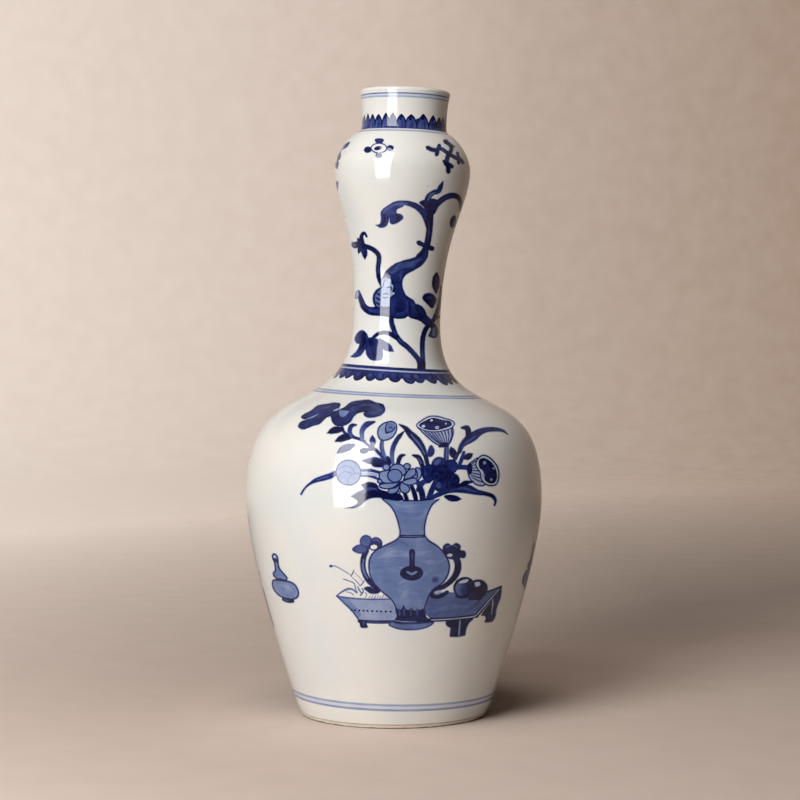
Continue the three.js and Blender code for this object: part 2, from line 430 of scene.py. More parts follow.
def smooth_run(places, looped):
    """A centripetal curve through a run of points, sampled at the brush step."""
    before = places[-2] if looped else 2 * places[0] - places[1]
    after = places[1] if looped else 2 * places[-1] - places[-2]
    knots = np.vstack([before, places, after])
    gaps = np.maximum(np.linalg.norm(np.diff(knots, axis=0), axis=1), TINY)
    spans = np.sqrt(gaps)
    rates = np.diff(knots, axis=0) / spans[:, None]
    chords = (knots[2:] - knots[:-2]) / (spans[1:] + spans[:-1])[:, None]
    tangents = rates[:-1] - chords + rates[1:]
    line = []
    for i in range(len(places) - 1):
        span = spans[i + 1]
        steps = max(1, math.ceil(gaps[i + 1] / BRUSH_STEP))
        t = np.arange(steps)[:, None] / steps
        line.append(
            (2 * t**3 - 3 * t**2 + 1) * places[i]
            + (t**3 - 2 * t**2 + t) * span * tangents[i]
            + (3 * t**2 - 2 * t**3) * places[i + 1]
            + (t**3 - t**2) * span * tangents[i + 1]
        )
    return np.vstack(line + [places[-1:]])


def brushed(line, widths):
    """The outline of a brush line with the given widths along it and round ends."""
    steps = np.linalg.norm(np.diff(line, axis=0), axis=1)
    length = np.concatenate([[0], np.cumsum(steps)])
    widths = np.atleast_1d(widths)
    half = np.interp(length / length[-1], np.linspace(0, 1, len(widths)), widths) / 2
    normal = outward(line)
    along = np.column_stack([-normal[:, 1], normal[:, 0]])
    right = line + normal * half[:, None]
    left = line - normal * half[:, None]
    cap = np.linspace(0, math.pi, 5)[1:-1, None]
    tip = line[-1] + half[-1] * (np.cos(cap) * normal[-1] + np.sin(cap) * along[-1])
    root = line[0] - half[0] * (np.cos(cap) * normal[0] + np.sin(cap) * along[0])
    return np.vstack([right, tip, left[::-1], root])


class Painting:
    """Shapes of cobalt on the outside wall, kept as turn angles and heights."""

    def __init__(self, wall):
        self.wall = wall
        self.shapes = []
        self.bleeds = []
        self.turn_to(0)

    def turn_to(self, degrees, mirrored=False):
        """Draws from here on round an axis turned by this angle, or the other way round."""
        self.turn = math.radians(degrees)
        self.side = -1 if mirrored else 1

    def on_wall(self, points):
        """Turn angles and heights of points drawn in millimetres."""
        across, height = np.asarray(points, float).T * MM
        depth = np.sqrt(np.maximum(self.wall.radius(height) ** 2 - across**2, 0))
        across, height = carried_over(across, height, depth)
        reach = np.clip(across / self.wall.radius(height), -LIMB_SHARE, LIMB_SHARE)
        return np.column_stack([self.turn + self.side * np.arcsin(reach), height])

    def lay(self, outline, tone, ends=None):
        """Adds a closed outline in one tone, or in two that run into each other between two ends."""
        tones = (tone, tone) if np.isscalar(tone) else tone
        ends = outline[[0, len(outline) // 2]] if ends is None else np.asarray(ends, float)
        self.shapes.append((self.on_wall(outline), tones, self.on_wall(ends)))

    def bleed(self, line, widths, tone):
        """Lets the edge of a dark brush mark bleed into the glaze."""
        if np.max(tone) >= MID:
            edge = self.on_wall(brushed(line, np.atleast_1d(widths) + 2 * BLEED)[::2])
            self.bleeds.append((edge, (BLED, BLED), edge[:2]))

    def fill(self, line, tone, ends=None):
        """Lays a closed line's inside, with its bleed."""
        self.lay(line, tone, ends)
        self.bleed(np.vstack([line, line[:2]]), 0, tone)

    def edge(self, line, width, tone):
        """Lays a brush line along a closed line, with its bleed."""
        line = np.vstack([line, line[:2]])
        self.lay(brushed(line, width), tone)
        self.bleed(line, width, tone)

    def line(self, points, widths, tone):
        """A brush line."""
        line = through(points)
        self.lay(brushed(line, widths), tone, line[[0, -1]])
        self.bleed(line, widths, tone)

    def wash(self, points, tone, ends=None):
        """A filled shape with a smooth edge."""
        self.fill(through(points, closed=True), tone, ends)

    def patch(self, points, fill, width, tone):
        """A filled shape with a drawn edge."""
        line = through(points, closed=True)
        self.lay(line, fill)
        self.edge(line, width, tone)

    def leaf(self, root, tip, width, tone, bend=0.0):
        """A leaf that swells and comes to a point, bent to one side by a share of its length."""
        root, tip = np.array(root, float), np.array(tip, float)
        side = np.array([root[1] - tip[1], tip[0] - root[0]]) * bend
        middle = (root + tip) / 2 + side
        self.line([root, middle, tip], (0.45 * width, 0.95 * width, width, 0.75 * width, 0.2), tone)

    def spot(self, place, across, up, tone, tilt=0.0):
        """An oval spot."""
        self.fill(oval(place, across, up, tilt), tone)

    def ring(self, place, across, up, width, tone, tilt=0.0):
        """An oval line."""
        self.edge(oval(place, across, up, tilt), width, tone)

    def bud(self, place, across, up, fill, width, tone, tilt=0.0):
        """An oval filled in one tone and edged in another."""
        self.lay(oval(place, across, up, tilt), fill)
        self.ring(place, across, up, width, tone, tilt)

    def band(self, height, width, tone, tilt=0.0):
        """A line all round the wall, higher on one side by its tilt."""
        turns = np.linspace(SEAM, SEAM + 2 * math.pi, 2 * COLUMNS // 3 + 1)
        _, height = carried_over(0, height * MM, BAND_SHARE * self.wall.radius(height * MM))
        middle = height + tilt * MM * np.sin(turns)
        above = np.column_stack([turns, middle + width * MM / 2])
        below = np.column_stack([turns, middle - width * MM / 2])
        self.shapes.append((np.vstack([below, above[::-1]]), (tone, tone), below[:2]))


def carried_over(across, height, depth):
    """Moves drawn places that stand towards the camera so that they look the same from its own place."""
    drawn = 1 - depth / DRAWN_DISTANCE
    view = 1 - depth / VIEW_DISTANCE
    seen = DRAWN_HEIGHT + (height - DRAWN_HEIGHT) / drawn
    return across * view / drawn, VIEW_HEIGHT + (seen - VIEW_HEIGHT) * view


def oval(place, across, up, tilt=0.0):
    """Points round an oval, tilted by degrees."""
    count = max(10, math.ceil(math.pi * (across + up) / BRUSH_STEP))
    turn = np.arange(count) * 2 * math.pi / count
    x, y = across * np.cos(turn), up * np.sin(turn)
    cosine, sine = math.cos(math.radians(tilt)), math.sin(math.radians(tilt))
    return np.column_stack([place[0] + x * cosine - y * sine, place[1] + x * sine + y * cosine])


# Motifs of the mouth and the bulb


def paint_collar(p):
    """Lines under the lip and a ring of pointed petals on the collar."""
    p.band(393.8, 1.8, FAINT - 0.05, 0.2)
    p.band(394.9, 0.8, WASH + 0.05, 0.2)
    p.band(392.8, 1, PALE, 0)
    p.band(372.1, 2.6, FAINT - 0.1)
    p.band(371.1, 1, PALE - 0.04)
    p.band(374.3, 3, DEEP + 0.02)
    turns = [-70, -58.5, -48, -37, -25.5, -15.5, -4, 9, 26, 42, 54.5, 65]
    turns += [77.5 + 12.5 * i for i in range(17)]
    p.turn_to(18.5)
    p.wash([(-2, 372.8, 1), (-1.6, 378), (0, 379.8), (1.6, 378), (2, 372.8, 1)], DEEP + 0.05)
    for i, turn in enumerate(turns):
        p.turn_to(turn)
        half = PETAL_SHARE * (turns[(i + 1) % len(turns)] - turns[i - 1]) % (PETAL_SHARE * 360)
        tip = 381.9 + 0.5 * math.sin(1.7 * i)
        edge = [(-half, 373.2), (-half, 376), (-0.65 * half, 379.2), (0, tip, 1), (0.65 * half, 379.2),
                (half, 376), (half, 373.2)]
        p.wash([(-half, 372.7, 1), *edge[1:-1], (half, 372.7, 1)], DEEP - 0.08)
        p.line(edge, (0.7, 0.9, 1.2, 0.9, 0.7), DARK)
        p.line([(0, tip - 0.4), (-0.4, tip - 2.6)], (0.8, 0.6 * half), DARK)
        p.line([(0.2 * half, 378), (0.3 * half, 373.6)], (0.5, 1), DEEP + 0.04)
        p.line([(-0.45 * half, 377), (-0.5 * half, 373.4)], (0.4, 0.8), MID + 0.06)
    p.turn_to(0)


def paint_ring_emblem(p, u, s):
    """A ring with an eye and four lobes."""
    lobe = [(u - 2.4, s + 5.4), (u + 2.3, s + 5.4), (u + 2.1, s + 4.3), (u + 0.2, s + 2.8)]
    p.patch([*lobe, (u - 1.9, s + 4.1)], DEEP, 0.8, DARK)
    p.spot((u - 6.9, s - 1.1), 2.4, 2, DARK, 10)
    p.spot((u + 7, s + 0.3), 2.2, 1.7, DARK, 4)
    p.line([(u + 5.8, s - 0.2), (u + 7.4, s - 0.7)], (1, 1.3), PALE)
    p.spot((u + 0.2, s - 4.6), 2.1, 1.6, DEEP)
    p.lay(oval((u, s), 4.8, 3), BARE)
    p.ring((u, s), 4.8, 3, 0.7, DEEP - 0.05)
    p.spot((u - 0.7, s - 0.1), 2.5, 1.3, DARK, 14)
    p.spot((u + 1.1, s + 0.3), 0.9, 0.5, WASH, 14)


def paint_fret_emblem(p):
    """A slanting cross of four arms, each with a bar across it and a stepped end."""
    for bar, width in (
        ([(28.7, 357.6), (25, 360), (22, 361.2)], 2.4),
        ([(22.4, 362.6), (21.6, 359.6), (20.9, 356.8)], 2.4),
        ([(21.2, 359.5), (18, 359.7), (15.2, 360.8)], 2.6),
        ([(28.9, 357.8), (30.2, 361), (29.4, 363.6)], 2.4),
        ([(26.4, 365.6), (29.4, 363.7), (31.6, 362.8)], (3.2, 2.2, 1.6)),
        ([(28.6, 357.6), (32.2, 356.1), (35, 354.8)], 2.4),
        ([(34.2, 358.8), (34.8, 355.4), (35, 352.6)], 2),
        ([(35, 355.6), (36.6, 354.6), (37.6, 353.2)], 2.2),
        ([(28.6, 357.6), (27.5, 354), (27, 351.2)], 2.7),
        ([(25.8, 352.8), (28, 351.4), (30.8, 350)], (2.2, 3, 2.4)),
        ([(28.2, 351), (28.6, 348.8), (28.6, 346.6)], (3, 2.8, 2.6)),
    ):
        p.line(bar, width, DARK)
    p.line([(27.2, 358.4), (24, 360.4)], (0.4, 0.8), DEEP - 0.06)
    p.line([(27.8, 355.6), (27.2, 352.6)], (0.5, 0.9), DEEP - 0.04)


def paint_ribbon_emblem(p):
    """A knotted ribbon."""
    p.line([(-34.4, 363), (-36.5, 361.2), (-38, 359.4)], (1.4, 3, 1.2), DEEP)
    p.line([(-37.6, 360.2), (-39.2, 358.4), (-39.8, 356)], (0.8, 0.8, 1.2), MID)
    p.line([(-39.9, 356.6), (-40.5, 354), (-41.1, 351.8)], (1.2, 2.8, 1), DARK)
    p.line([(-41.1, 352), (-41.6, 349.6), (-41.4, 347.2)], (1, 2.6, 1), DARK)
    p.line([(-41.2, 338), (-40.9, 333.8)], (2, 0.8), DARK)


def paint_bulb(p):
    """Emblems spaced round the bulb."""
    for turn in (0, 120, 240):
        p.turn_to(turn)
        paint_ring_emblem(p, -15.1, 359.4)
    for turn in (0, 120):
        p.turn_to(turn)
        paint_fret_emblem(p)
    p.turn_to(0)
    paint_ribbon_emblem(p)
    p.spot((16.5, 337.3), 0.55, 0.45, FAINT)


# Motifs of the neck


def paint_bough(p):
    """A bough with leafy ends and the sprig beside it."""
    p.line([(-8, 323.2), (-3, 325.6), (3, 326), (9, 324.4), (13.4, 321.2), (16.4, 316.6), (18, 311)],
           (2, 2.6, 2.8, 3.6, 4.2, 4.4, 3.6), DEEP + 0.06)
    p.wash([(1, 326.9), (-5, 325), (-9.6, 323.2), (-12.4, 320), (-12.2, 315), (-13, 312.4),
            (-15.6, 311.8, 1), (-12.4, 310.1), (-9, 311), (-7.6, 313.5), (-7, 316.4, 1), (-6.3, 313),
            (-4.4, 312.5), (-0.5, 314.4), (1.7, 317), (0, 319), (-2.6, 319.6), (-2.4, 321.8),
            (1.5, 324.1)], DEEP - 0.02)
    p.line([(-10.8, 319.5), (-8, 322.6), (-3, 324.9), (4, 325.6)], (1.2, 1.8, 1.6, 0.6), MID + 0.08)
    p.line([(-2.6, 315), (-0.8, 317), (-2.8, 318.4)], (1, 1.6, 0.6), DARK)
    p.line([(-11.4, 312), (-10, 315), (-10.4, 318)], (0.8, 1.6, 0.8), DARK)
    p.line([(18, 325), (18.4, 318), (18.3, 311), (17.8, 305), (16.9, 300), (15.5, 296), (12.5, 292)],
           (4, 4, 3.9, 3.8, 4.2, 5), DARK)
    p.line([(17.4, 315), (17.9, 309), (17.2, 303)], (0.8, 1.3, 0.6), DEEP - 0.06)
    p.line([(11.9, 301.6), (15.5, 300), (20.2, 298.4)], (3, 2.4, 3.2), DARK)
    p.wash([(11.2, 326.6), (14, 324), (16, 320.6), (20.6, 321.4), (22.6, 326), (23, 328.4), (18.6, 329.4)],
           DARK)
    p.line([(15.6, 326.5), (17.2, 330.8), (20, 333.2), (23, 334.4), (24.2, 337), (25.6, 340.4)],
           (3.4, 3.6, 2.9, 3, 2.8, 0.6), DEEP + 0.08)
    p.line([(16.6, 328.5), (18.3, 331.8), (21, 333.3)], (1.2, 1.5, 0.4), MID + 0.04)
    p.line([(19.4, 321), (22.6, 326.4), (26, 329.6), (31, 332), (34.8, 331.8), (37.2, 329), (37.4, 323)],
           (4, 3.4, 3.4, 3.4, 3.2, 2.2, 1.2), DARK)
    p.line([(24, 328), (28.4, 330.9), (33, 331.8)], (0.5, 1.1, 0.5), DEEP - 0.02)
    p.spot((33.2, 316), 2, 4, DARK, -10)
    p.spot((34, 315.6), 0.7, 2.2, DEEP - 0.1, -10)
    p.line([(-10.2, 273.5), (-12.2, 278.4), (-13, 284), (-12.6, 290), (-13, 293), (-16.5, 296.4),
            (-22.6, 298.6)], (1.9, 2.5, 2.7, 2.8, 2.9, 2.8, 3), DARK)
    p.line([(-12.9, 281), (-12.7, 290)], (0.7, 0.9), DEEP - 0.06)
    p.line([(-23.2, 299), (-24.2, 304.2), (-22.7, 306.6), (-20.7, 304.3)], (3.4, 2.6, 2, 1), DARK)
    p.wash([(-22.4, 300.6), (-24.4, 302.6), (-26.9, 303.4, 1), (-26.9, 301.2), (-30.4, 300.6, 1),
            (-30.6, 298.6), (-28.4, 297), (-26, 297.2), (-23, 297.6)], DARK)
    p.spot((-28.4, 299), 1.1, 0.9, DEEP - 0.1)
    p.leaf((-23.2, 299), (-21.4, 290), 3.9, DARK, 0.04)
    p.leaf((-24.4, 298.6), (-25.7, 293.4), 2.8, DARK)


def paint_gibbon(p):
    """A gibbon that swings from the bough by one arm."""
    body = [(17.6, 296.4), (13.9, 294.2), (9, 291.6), (1.6, 289.2), (-3, 287), (-7.8, 282.4),
            (-9.4, 278.8, 1), (-8, 280), (-6.6, 279), (-5.2, 278.8), (-4, 277.4), (-4, 275.4, 1),
            (-2.8, 274.6), (-2.6, 272.2), (-3.4, 270.4, 1), (-1.8, 270.2), (-1.6, 268.8), (-3, 267.6),
            (-4.3, 266.4), (-4.4, 261), (-4.6, 255.5, 1), (-1.5, 254), (2.8, 253.9), (5.6, 254.8),
            (6.8, 256, 1), (8.4, 254.7), (14.5, 252.9), (18.4, 250.2), (20.6, 249.4), (21.6, 252.6),
            (18.6, 255.4), (16.4, 259.8), (13.8, 262), (11, 262.6, 1), (9.6, 265), (6.3, 266.9),
            (4.5, 268.2, 1), (2.4, 273), (2.2, 278), (4.4, 281.6), (9.4, 284.7), (14.4, 288.4),
            (17.2, 293)]
    face = [(-10.2, 279.4, 1), (-7.4, 280.4), (-4.6, 279.6), (-3, 277), (-1.9, 273), (-1, 269.4),
            (-3.4, 266.8), (-3.6, 262), (-5.4, 260.8), (-8, 260.6), (-11, 261, 1), (-11.6, 263),
            (-11.4, 270), (-10.4, 274), (-10.8, 277)]
    p.line([(-4, 258), (-11, 257.8), (-17, 257.6), (-20.7, 259.8), (-22.8, 263.8), (-24.9, 269.6)],
           (7.6, 6.6, 5.4, 4.2, 3.2, 1.6), DARK)
    p.line([(-5, 257.6), (-16, 258), (-20, 260), (-22, 263.4)], (2, 2.6, 1.8, 0.6), DEEP - 0.05)
    p.bud((-25.8, 267.4), 1, 2.6, PALE, 0.6, WASH, -12)
    p.wash(face, PALE + 0.06)
    p.wash([(-10.4, 272.6), (-13.6, 270), (-15, 266), (-14, 261.4), (-11, 260.4), (-10.6, 266)],
           MID - 0.04)
    p.line([(-10.2, 272.8), (-13.6, 270), (-15, 266), (-14, 261.6), (-12.6, 259.6)],
           (1.1, 1.4, 1.5, 1.4, 1), DARK)
    for s in (262.2, 265.2, 268.2):
        p.line([(-13.6, s + 1), (-11.6, s - 0.2)], (0.8, 1.5), DARK)
    p.line([(-9.6, 273), (-9, 276), (-7.6, 278)], (0.7, 0.9, 0.6), MID)
    for u, s, wide in ((-6, 277.4, 1.7), (-7.4, 275.2, 1.5), (-4.6, 274.8, 1.4)):
        p.spot((u, s), wide, wide, PALE)
    p.line([(-6.6, 272.6), (-5, 273.4), (-3.9, 272.2), (-4.8, 271)], (0.8, 1.1, 0.9, 0.5), DEEP)
    p.line([(-9.2, 268.4), (-7.4, 268.9), (-5.8, 268.4)], (0.5, 0.8, 0.5), DEEP)
    p.line([(-9.4, 266.6), (-7.4, 266.2), (-6, 266.8)], (0.5, 0.9, 0.5), DEEP)
    p.line([(-3.8, 268.2), (-2.6, 269.2), (-2.2, 268)], (0.5, 0.8, 0.5), PALE)
    p.patch(body, DEEP + 0.05, 1, DARK)
    p.line([(-4.4, 282), (1.4, 286.8), (8, 288), (13.6, 291.6)], (1.5, 4.2, 3.4, 1), DEEP - 0.1)
    p.line([(1.6, 278.6), (1.2, 281.4), (2.6, 284)], (0.8, 1.8, 0.8), DEEP - 0.06)
    p.line([(-2.6, 257.4), (-2.4, 262), (-1.2, 265.6)], (1, 2.4, 0.8), DEEP)
    p.line([(0.4, 256.4), (3.4, 257), (5.6, 259.6)], (1, 2, 0.8), DEEP - 0.04)
    p.line([(5.8, 265), (6.2, 261), (6.2, 257.6)], (0.6, 1.5, 0.7), DEEP - 0.06)
    p.line([(7.4, 265), (7.8, 261), (8, 256.4)], (0.5, 1.1, 0.7), DARK)
    p.line([(9.4, 263), (10.4, 259.6), (13, 257)], (1.2, 2, 0.9), DEEP - 0.03)
    p.line([(12.6, 261), (13.4, 257), (17, 253.4)], (0.5, 0.9, 0.5), DARK)


def paint_stems(p):
    """Two stems that rise from the root of the neck, with their leaves."""
    p.line([(-3.3, 255), (-3.4, 251), (-2.3, 247.9), (-0.3, 243), (2.8, 239), (7, 235.8), (10.6, 232.3),
            (14.2, 228.2), (16.2, 222.4)], (2.9, 3.1, 3, 3.1, 3.2, 3.1, 3, 3.1, 3.4), DARK)
    p.line([(20.4, 250.4), (18.4, 247.6), (16.9, 243), (16.5, 236), (17, 229), (17.2, 222.3)],
           (2.8, 3, 3, 3, 3.2), DARK)
    p.line([(-2, 246.4), (1.4, 240.6), (6.4, 236.4)], (0.4, 0.9, 0.4), DEEP - 0.06)
    p.line([(16.9, 242), (16.6, 235), (17, 229)], (0.4, 0.9, 0.4), DEEP - 0.06)
    p.wash([(13.6, 222, 1), (14.6, 227.6), (16.4, 229), (18.6, 227), (19, 222, 1)], DARK)
    p.line([(21.4, 250.6), (23.8, 255), (25.6, 260), (26.7, 266), (27, 275)], (3, 2.6, 2.4, 1.8, 0.8),
           DARK)
    p.wash([(24, 283.4), (21.7, 280.6), (21.3, 275), (23.9, 269.6, 1), (25.8, 274), (25.9, 280)], DARK)
    p.line([(23.6, 280), (23.8, 273)], (1.2, 0.6), DEEP - 0.06)
    p.wash([(15.4, 267), (17.2, 269.8), (21, 270), (24.2, 266.8), (23.2, 262.6), (22, 260.6),
            (18.4, 263.4)], DARK)
    p.spot((19.4, 267.2), 1.8, 1.2, DEEP - 0.04)
    p.line([(23, 253.4), (26, 255.2), (28.6, 255.8)], (2.2, 2, 1.4), DARK)
    p.wash([(20.4, 250.6), (22.6, 251.6), (24.6, 250), (25.4, 247.6), (23.4, 246.4), (21.6, 247.6)], DARK)
    p.patch([(22.6, 248.6), (25, 248.4), (25.8, 245.6), (25.2, 242.8), (23.4, 242.1), (21.9, 242.8),
             (20.6, 243.2), (21.2, 245.2), (22.1, 246.8)], WASH, 0.9, DARK)
    p.line([(22.3, 246.6), (21.9, 244.8), (22.3, 243)], (0.5, 0.7, 0.5), DARK)
    p.line([(24.6, 247.6), (24.8, 245), (24.4, 243)], (1.2, 1.2, 0.6), DEEP)


def paint_leaf_fan(p):
    """A fan of broad leaves at the foot of the stems."""
    p.wash([(-21.7, 245.2), (-24.4, 243.6), (-26.4, 239), (-24.6, 236.4), (-23.2, 236.4), (-25, 231.6),
            (-28.8, 227.8, 1), (-25.4, 227.6), (-22, 229), (-19.2, 233.2, 1), (-18.2, 229.6),
            (-15.6, 226.8), (-11.6, 226.4), (-8.6, 227.4), (-8, 231), (-10, 238.6), (-14.2, 240.8),
            (-17, 240.4), (-18.8, 243.4)], DEEP)
    p.line([(-20.8, 242.8), (-20.6, 238), (-23, 232.4)], (2.6, 3.4, 1), DARK)
    p.line([(-16, 239.6), (-14.2, 233.6), (-13, 228.6)], (3, 3.6, 1.6), DARK)
    p.wash([(-11, 240.4), (-6.4, 238.6), (-3.4, 236.6), (-1.1, 232.6, 1), (-4.8, 232.6), (-8.4, 234)],
           DEEP)
    p.line([(-15.6, 239.6), (-11.6, 243.2), (-7, 244.4), (-3.4, 243.4), (0.4, 241)],
           (1.6, 2.2, 2.4, 2.8, 2.6), DARK)


def paint_neck_root(p):
    """Lines and a fringe of lappets where the neck meets the shoulder."""
    p.band(221.8, 1.8, DEEP + 0.06, -0.8)
    p.band(220.4, 1, PALE, -0.8)
    p.band(217.9, 4, DEEP + 0.04, -0.9)
    lappets = 30
    for i in range(lappets):
        degrees = i * 360 / lappets + 1.5 * math.sin(2.1 * i)
        p.turn_to(degrees)
        low = 214 - math.sin(math.radians(degrees)) - 0.5 * math.sin(1.9 * i)
        half = 3.9 + 0.4 * math.sin(3.1 * i)
        edge = [(-half, 217.4), (-half * 0.8, low + 1.5), (-half * 0.3, low + 0.2), (half * 0.3, low),
                (half * 0.8, low + 1.3), (half, 217.4)]
        p.wash([(-half, 219.6, 1), *edge, (half, 219.6, 1)], DEEP + 0.02 + 0.05 * math.sin(4.3 * i))
        p.line(edge, (0.6, 0.9, 1, 0.9, 0.6), DARK)
        p.spot((-1 + 0.8 * math.sin(2.9 * i), 217.4), 1.4, 1.2, DEEP - 0.07)
        p.line([(1.8, 219.4), (1.6, 216)], (0.6, 1.2), DARK)
    p.turn_to(0)
    p.band(206.3, 0.9, PALE + 0.05, -1.1)
    p.band(205, 0.9, PALE + 0.05, -1.1)
    p.band(205.65, 0.6, FAINT, -1.1)


def paint_neck(p):
    """The gibbon on the front of the neck, and the bough again on its back."""
    paint_bough(p)
    paint_stems(p)
    paint_leaf_fan(p)
    paint_gibbon(p)
    p.turn_to(170, mirrored=True)
    paint_bough(p)
    paint_stems(p)
    paint_leaf_fan(p)
    p.line([(12.5, 292), (8, 286), (2, 276), (-2, 266), (-3.3, 254)], (4.6, 3.8, 3.4, 3.2, 3), DARK)
    p.line([(-10.2, 273.5), (-5, 268), (-1.8, 266)], (1.9, 2.2, 2.4), DARK)
    p.leaf((0, 270), (-9, 262), 5, DEEP, 0.1)
    p.leaf((4, 280), (14, 276), 5, DEEP, -0.1)
    p.leaf((-1, 276), (-8, 284), 4.4, DEEP, 0.08)
    p.turn_to(0)


# Motifs of the body


def paint_lotus_leaf(p):
    """A wind-blown lotus leaf on its twig."""
    leaf = [(-57.4, 191.4), (-55.6, 193), (-51, 195.3), (-47.8, 197.8), (-42, 199.1), (-36, 200.1),
            (-33.6, 199.6), (-34.4, 197.8), (-37.4, 196.4), (-34.6, 196.2), (-30.6, 197.8), (-26.4, 200.8),
            (-20, 202), (-15.6, 202.4), (-11.4, 200.9), (-7, 200.1), (-5.8, 197.2), (-7.6, 194.8),
            (-13, 193.2), (-17, 193.5), (-18.4, 195), (-16.6, 196.2), (-22, 195.5), (-25, 193.2),
            (-27, 190), (-31.6, 188), (-35.4, 188.1), (-37.6, 190), (-38.8, 193), (-41.6, 192.4),
            (-46, 188.6), (-50, 187.4), (-56, 185.2), (-59, 186.4), (-57.4, 188.6), (-54, 190.3)]
    p.patch(leaf, DEEP + 0.04, 0.8, DARK)
    p.line([(-54.6, 190.4), (-50.6, 191.8), (-46.6, 193.8)], (0.3, 0.9, 0.3), WASH)
    p.line([(-37.6, 196), (-35.4, 196.6), (-33, 197.6)], (0.4, 1.1, 0.4), PALE)
    p.wash([(-33.6, 196.2), (-31, 196.4), (-27.6, 196, 1), (-30, 193.2), (-32.4, 192.8), (-33.8, 194.4)],
           WASH)
    for line in (
        [(-55, 187.4), (-49, 190), (-43, 194.4)],
        [(-49, 195.4), (-43, 197.2), (-38, 198.4)],
        [(-26, 197.6), (-20, 199.6), (-12, 199)],
        [(-16, 195), (-11, 195.6), (-8, 197.6)],
    ):
        p.line(line, (0.4, 0.9, 0.4), DEEP - 0.06)
    for line in (
        [(-52, 188.4), (-46, 191.4), (-41, 195.4)],
        [(-46, 196), (-41, 196.8), (-37, 199)],
        [(-24, 195.4), (-18, 198.4), (-9, 199.6)],
        [(-30, 197), (-24, 199.6), (-16, 201)],
    ):
        p.line(line, (0.4, 0.8, 0.4), DARK)
    p.line([(-31.7, 188), (-31.2, 185.2), (-28.7, 183), (-25.2, 181.6), (-19, 179.5), (-15, 176.4),
            (-11, 174.2), (-7, 170), (-4.4, 166.6)], (1.7, 1.6, 1.8, 1.7, 1.6, 1.7, 1.8, 2, 2.2), DEEP)
    p.leaf((-31, 185.8), (-40.9, 183.2), 3.9, DARK, -0.06)
    p.leaf((-25, 182), (-36, 178.6), 4.3, DARK, -0.05)
    p.line([(-25.7, 182), (-27, 185), (-25.8, 187.8), (-22.8, 188.4)], (2, 2.8, 2.6, 0.8),
           (MID + 0.1, DARK))
    p.line([(-19.2, 180.4), (-19.3, 185), (-17, 188.4), (-11.7, 190.4)], (2.4, 3, 3.4, 1), (WASH, DARK))
    p.leaf((-24.4, 176.6), (-34.6, 171.6), 4.4, DEEP, -0.05)
    p.spot((-18, 173.4), 2.6, 1.7, DEEP, 8)
    p.leaf((-12.6, 176), (-13, 182.6), 3.8, DEEP)
    p.leaf((-11, 175), (-17.4, 174), 2.4, DEEP)


def paint_buds(p):
    """Two closed buds with their stems, and the strap leaf at the left."""
    p.line([(-35, 159.8), (-38.7, 157.9), (-43.2, 156.4), (-47.8, 154.8), (-52.2, 152), (-54.5, 149.7),
            (-56.8, 146)], (3, 3.4, 3.2, 2.6, 1.3, 1, 1.1), DEEP)
    p.line([(-40, 157.6), (-47, 155.2)], (1, 0.8), DEEP - 0.14)
    p.line([(-20, 161.6), (-14, 161.7), (-8, 160.4)], (1.6, 1.8, 1.6), DEEP)
    p.line([(-20, 158.6), (-14, 158.4), (-8, 156)], (1.6, 1.8, 1.4), DEEP)
    p.line([(-20, 160.1), (-9, 159)], (2, 1.4), PALE)
    p.bud((-27.5, 160.2), 7.5, 7.5, WASH - 0.04, 0.8, DEEP)
    p.line([(-33.8, 162), (-29, 164.2), (-24.6, 162.4), (-23.8, 160.2)], 0.6, MID)
    p.line([(-34, 157.6), (-30, 160.6), (-25.8, 160)], 0.6, MID)
    p.line([(-28, 153.4), (-27.4, 156.6), (-24.6, 159.4), (-20.8, 160)], 0.6, MID)
    p.line([(-6.7, 180.6), (-7.2, 176), (-6, 171.2), (-4, 166.4)], (2.2, 2.5, 2.4, 2.6), MID)
    p.line([(-7.6, 180), (-8.2, 175.6), (-6.8, 170.6), (-5.2, 167.4)], 0.6, DEEP)
    p.patch([(-6.8, 179.8), (-4, 180), (-0.4, 182), (1.7, 186), (1.4, 189.2), (-1.4, 190.6), (-5.4, 189.8),
             (-9, 187), (-9.6, 183.6), (-8.6, 180.8)], WASH - 0.08, 0.8, DEEP)
    p.wash([(-4.6, 184, 1), (-5, 187), (-3.4, 189.6), (0, 189.4), (1, 186.6), (-1, 184.4)], WASH + 0.08)
    p.line([(-3.6, 190.2), (-5, 187.2), (-4.6, 184, 1), (-1, 185), (1.2, 187.6)],
           (0.7, 0.8, 1.2, 0.8, 0.6), DEEP)
    p.line([(-2.6, 187), (-1.6, 187.6), (-0.8, 186.6)], (0.8, 1, 0.6), DEEP)
    p.line([(-0.4, 166), (-1, 170), (-0.4, 175), (1.6, 179.4), (4, 182.6), (6.6, 185)],
           (2.2, 2.6, 2.8, 2.8, 2.6, 0.6), (MID, DARK))
    p.leaf((-3.6, 166), (-19.4, 167.4), 4.6, DEEP, -0.04)
    p.wash([(-13, 164.6), (-12.6, 168.4), (-7, 168), (-3.4, 170.4), (-1.4, 167), (-2, 164.8), (-7, 163.6)],
           DARK)
    p.line([(-11.6, 174.4), (-7.6, 170.6), (-4.8, 168)], (1.4, 1.8, 1.6), DEEP)


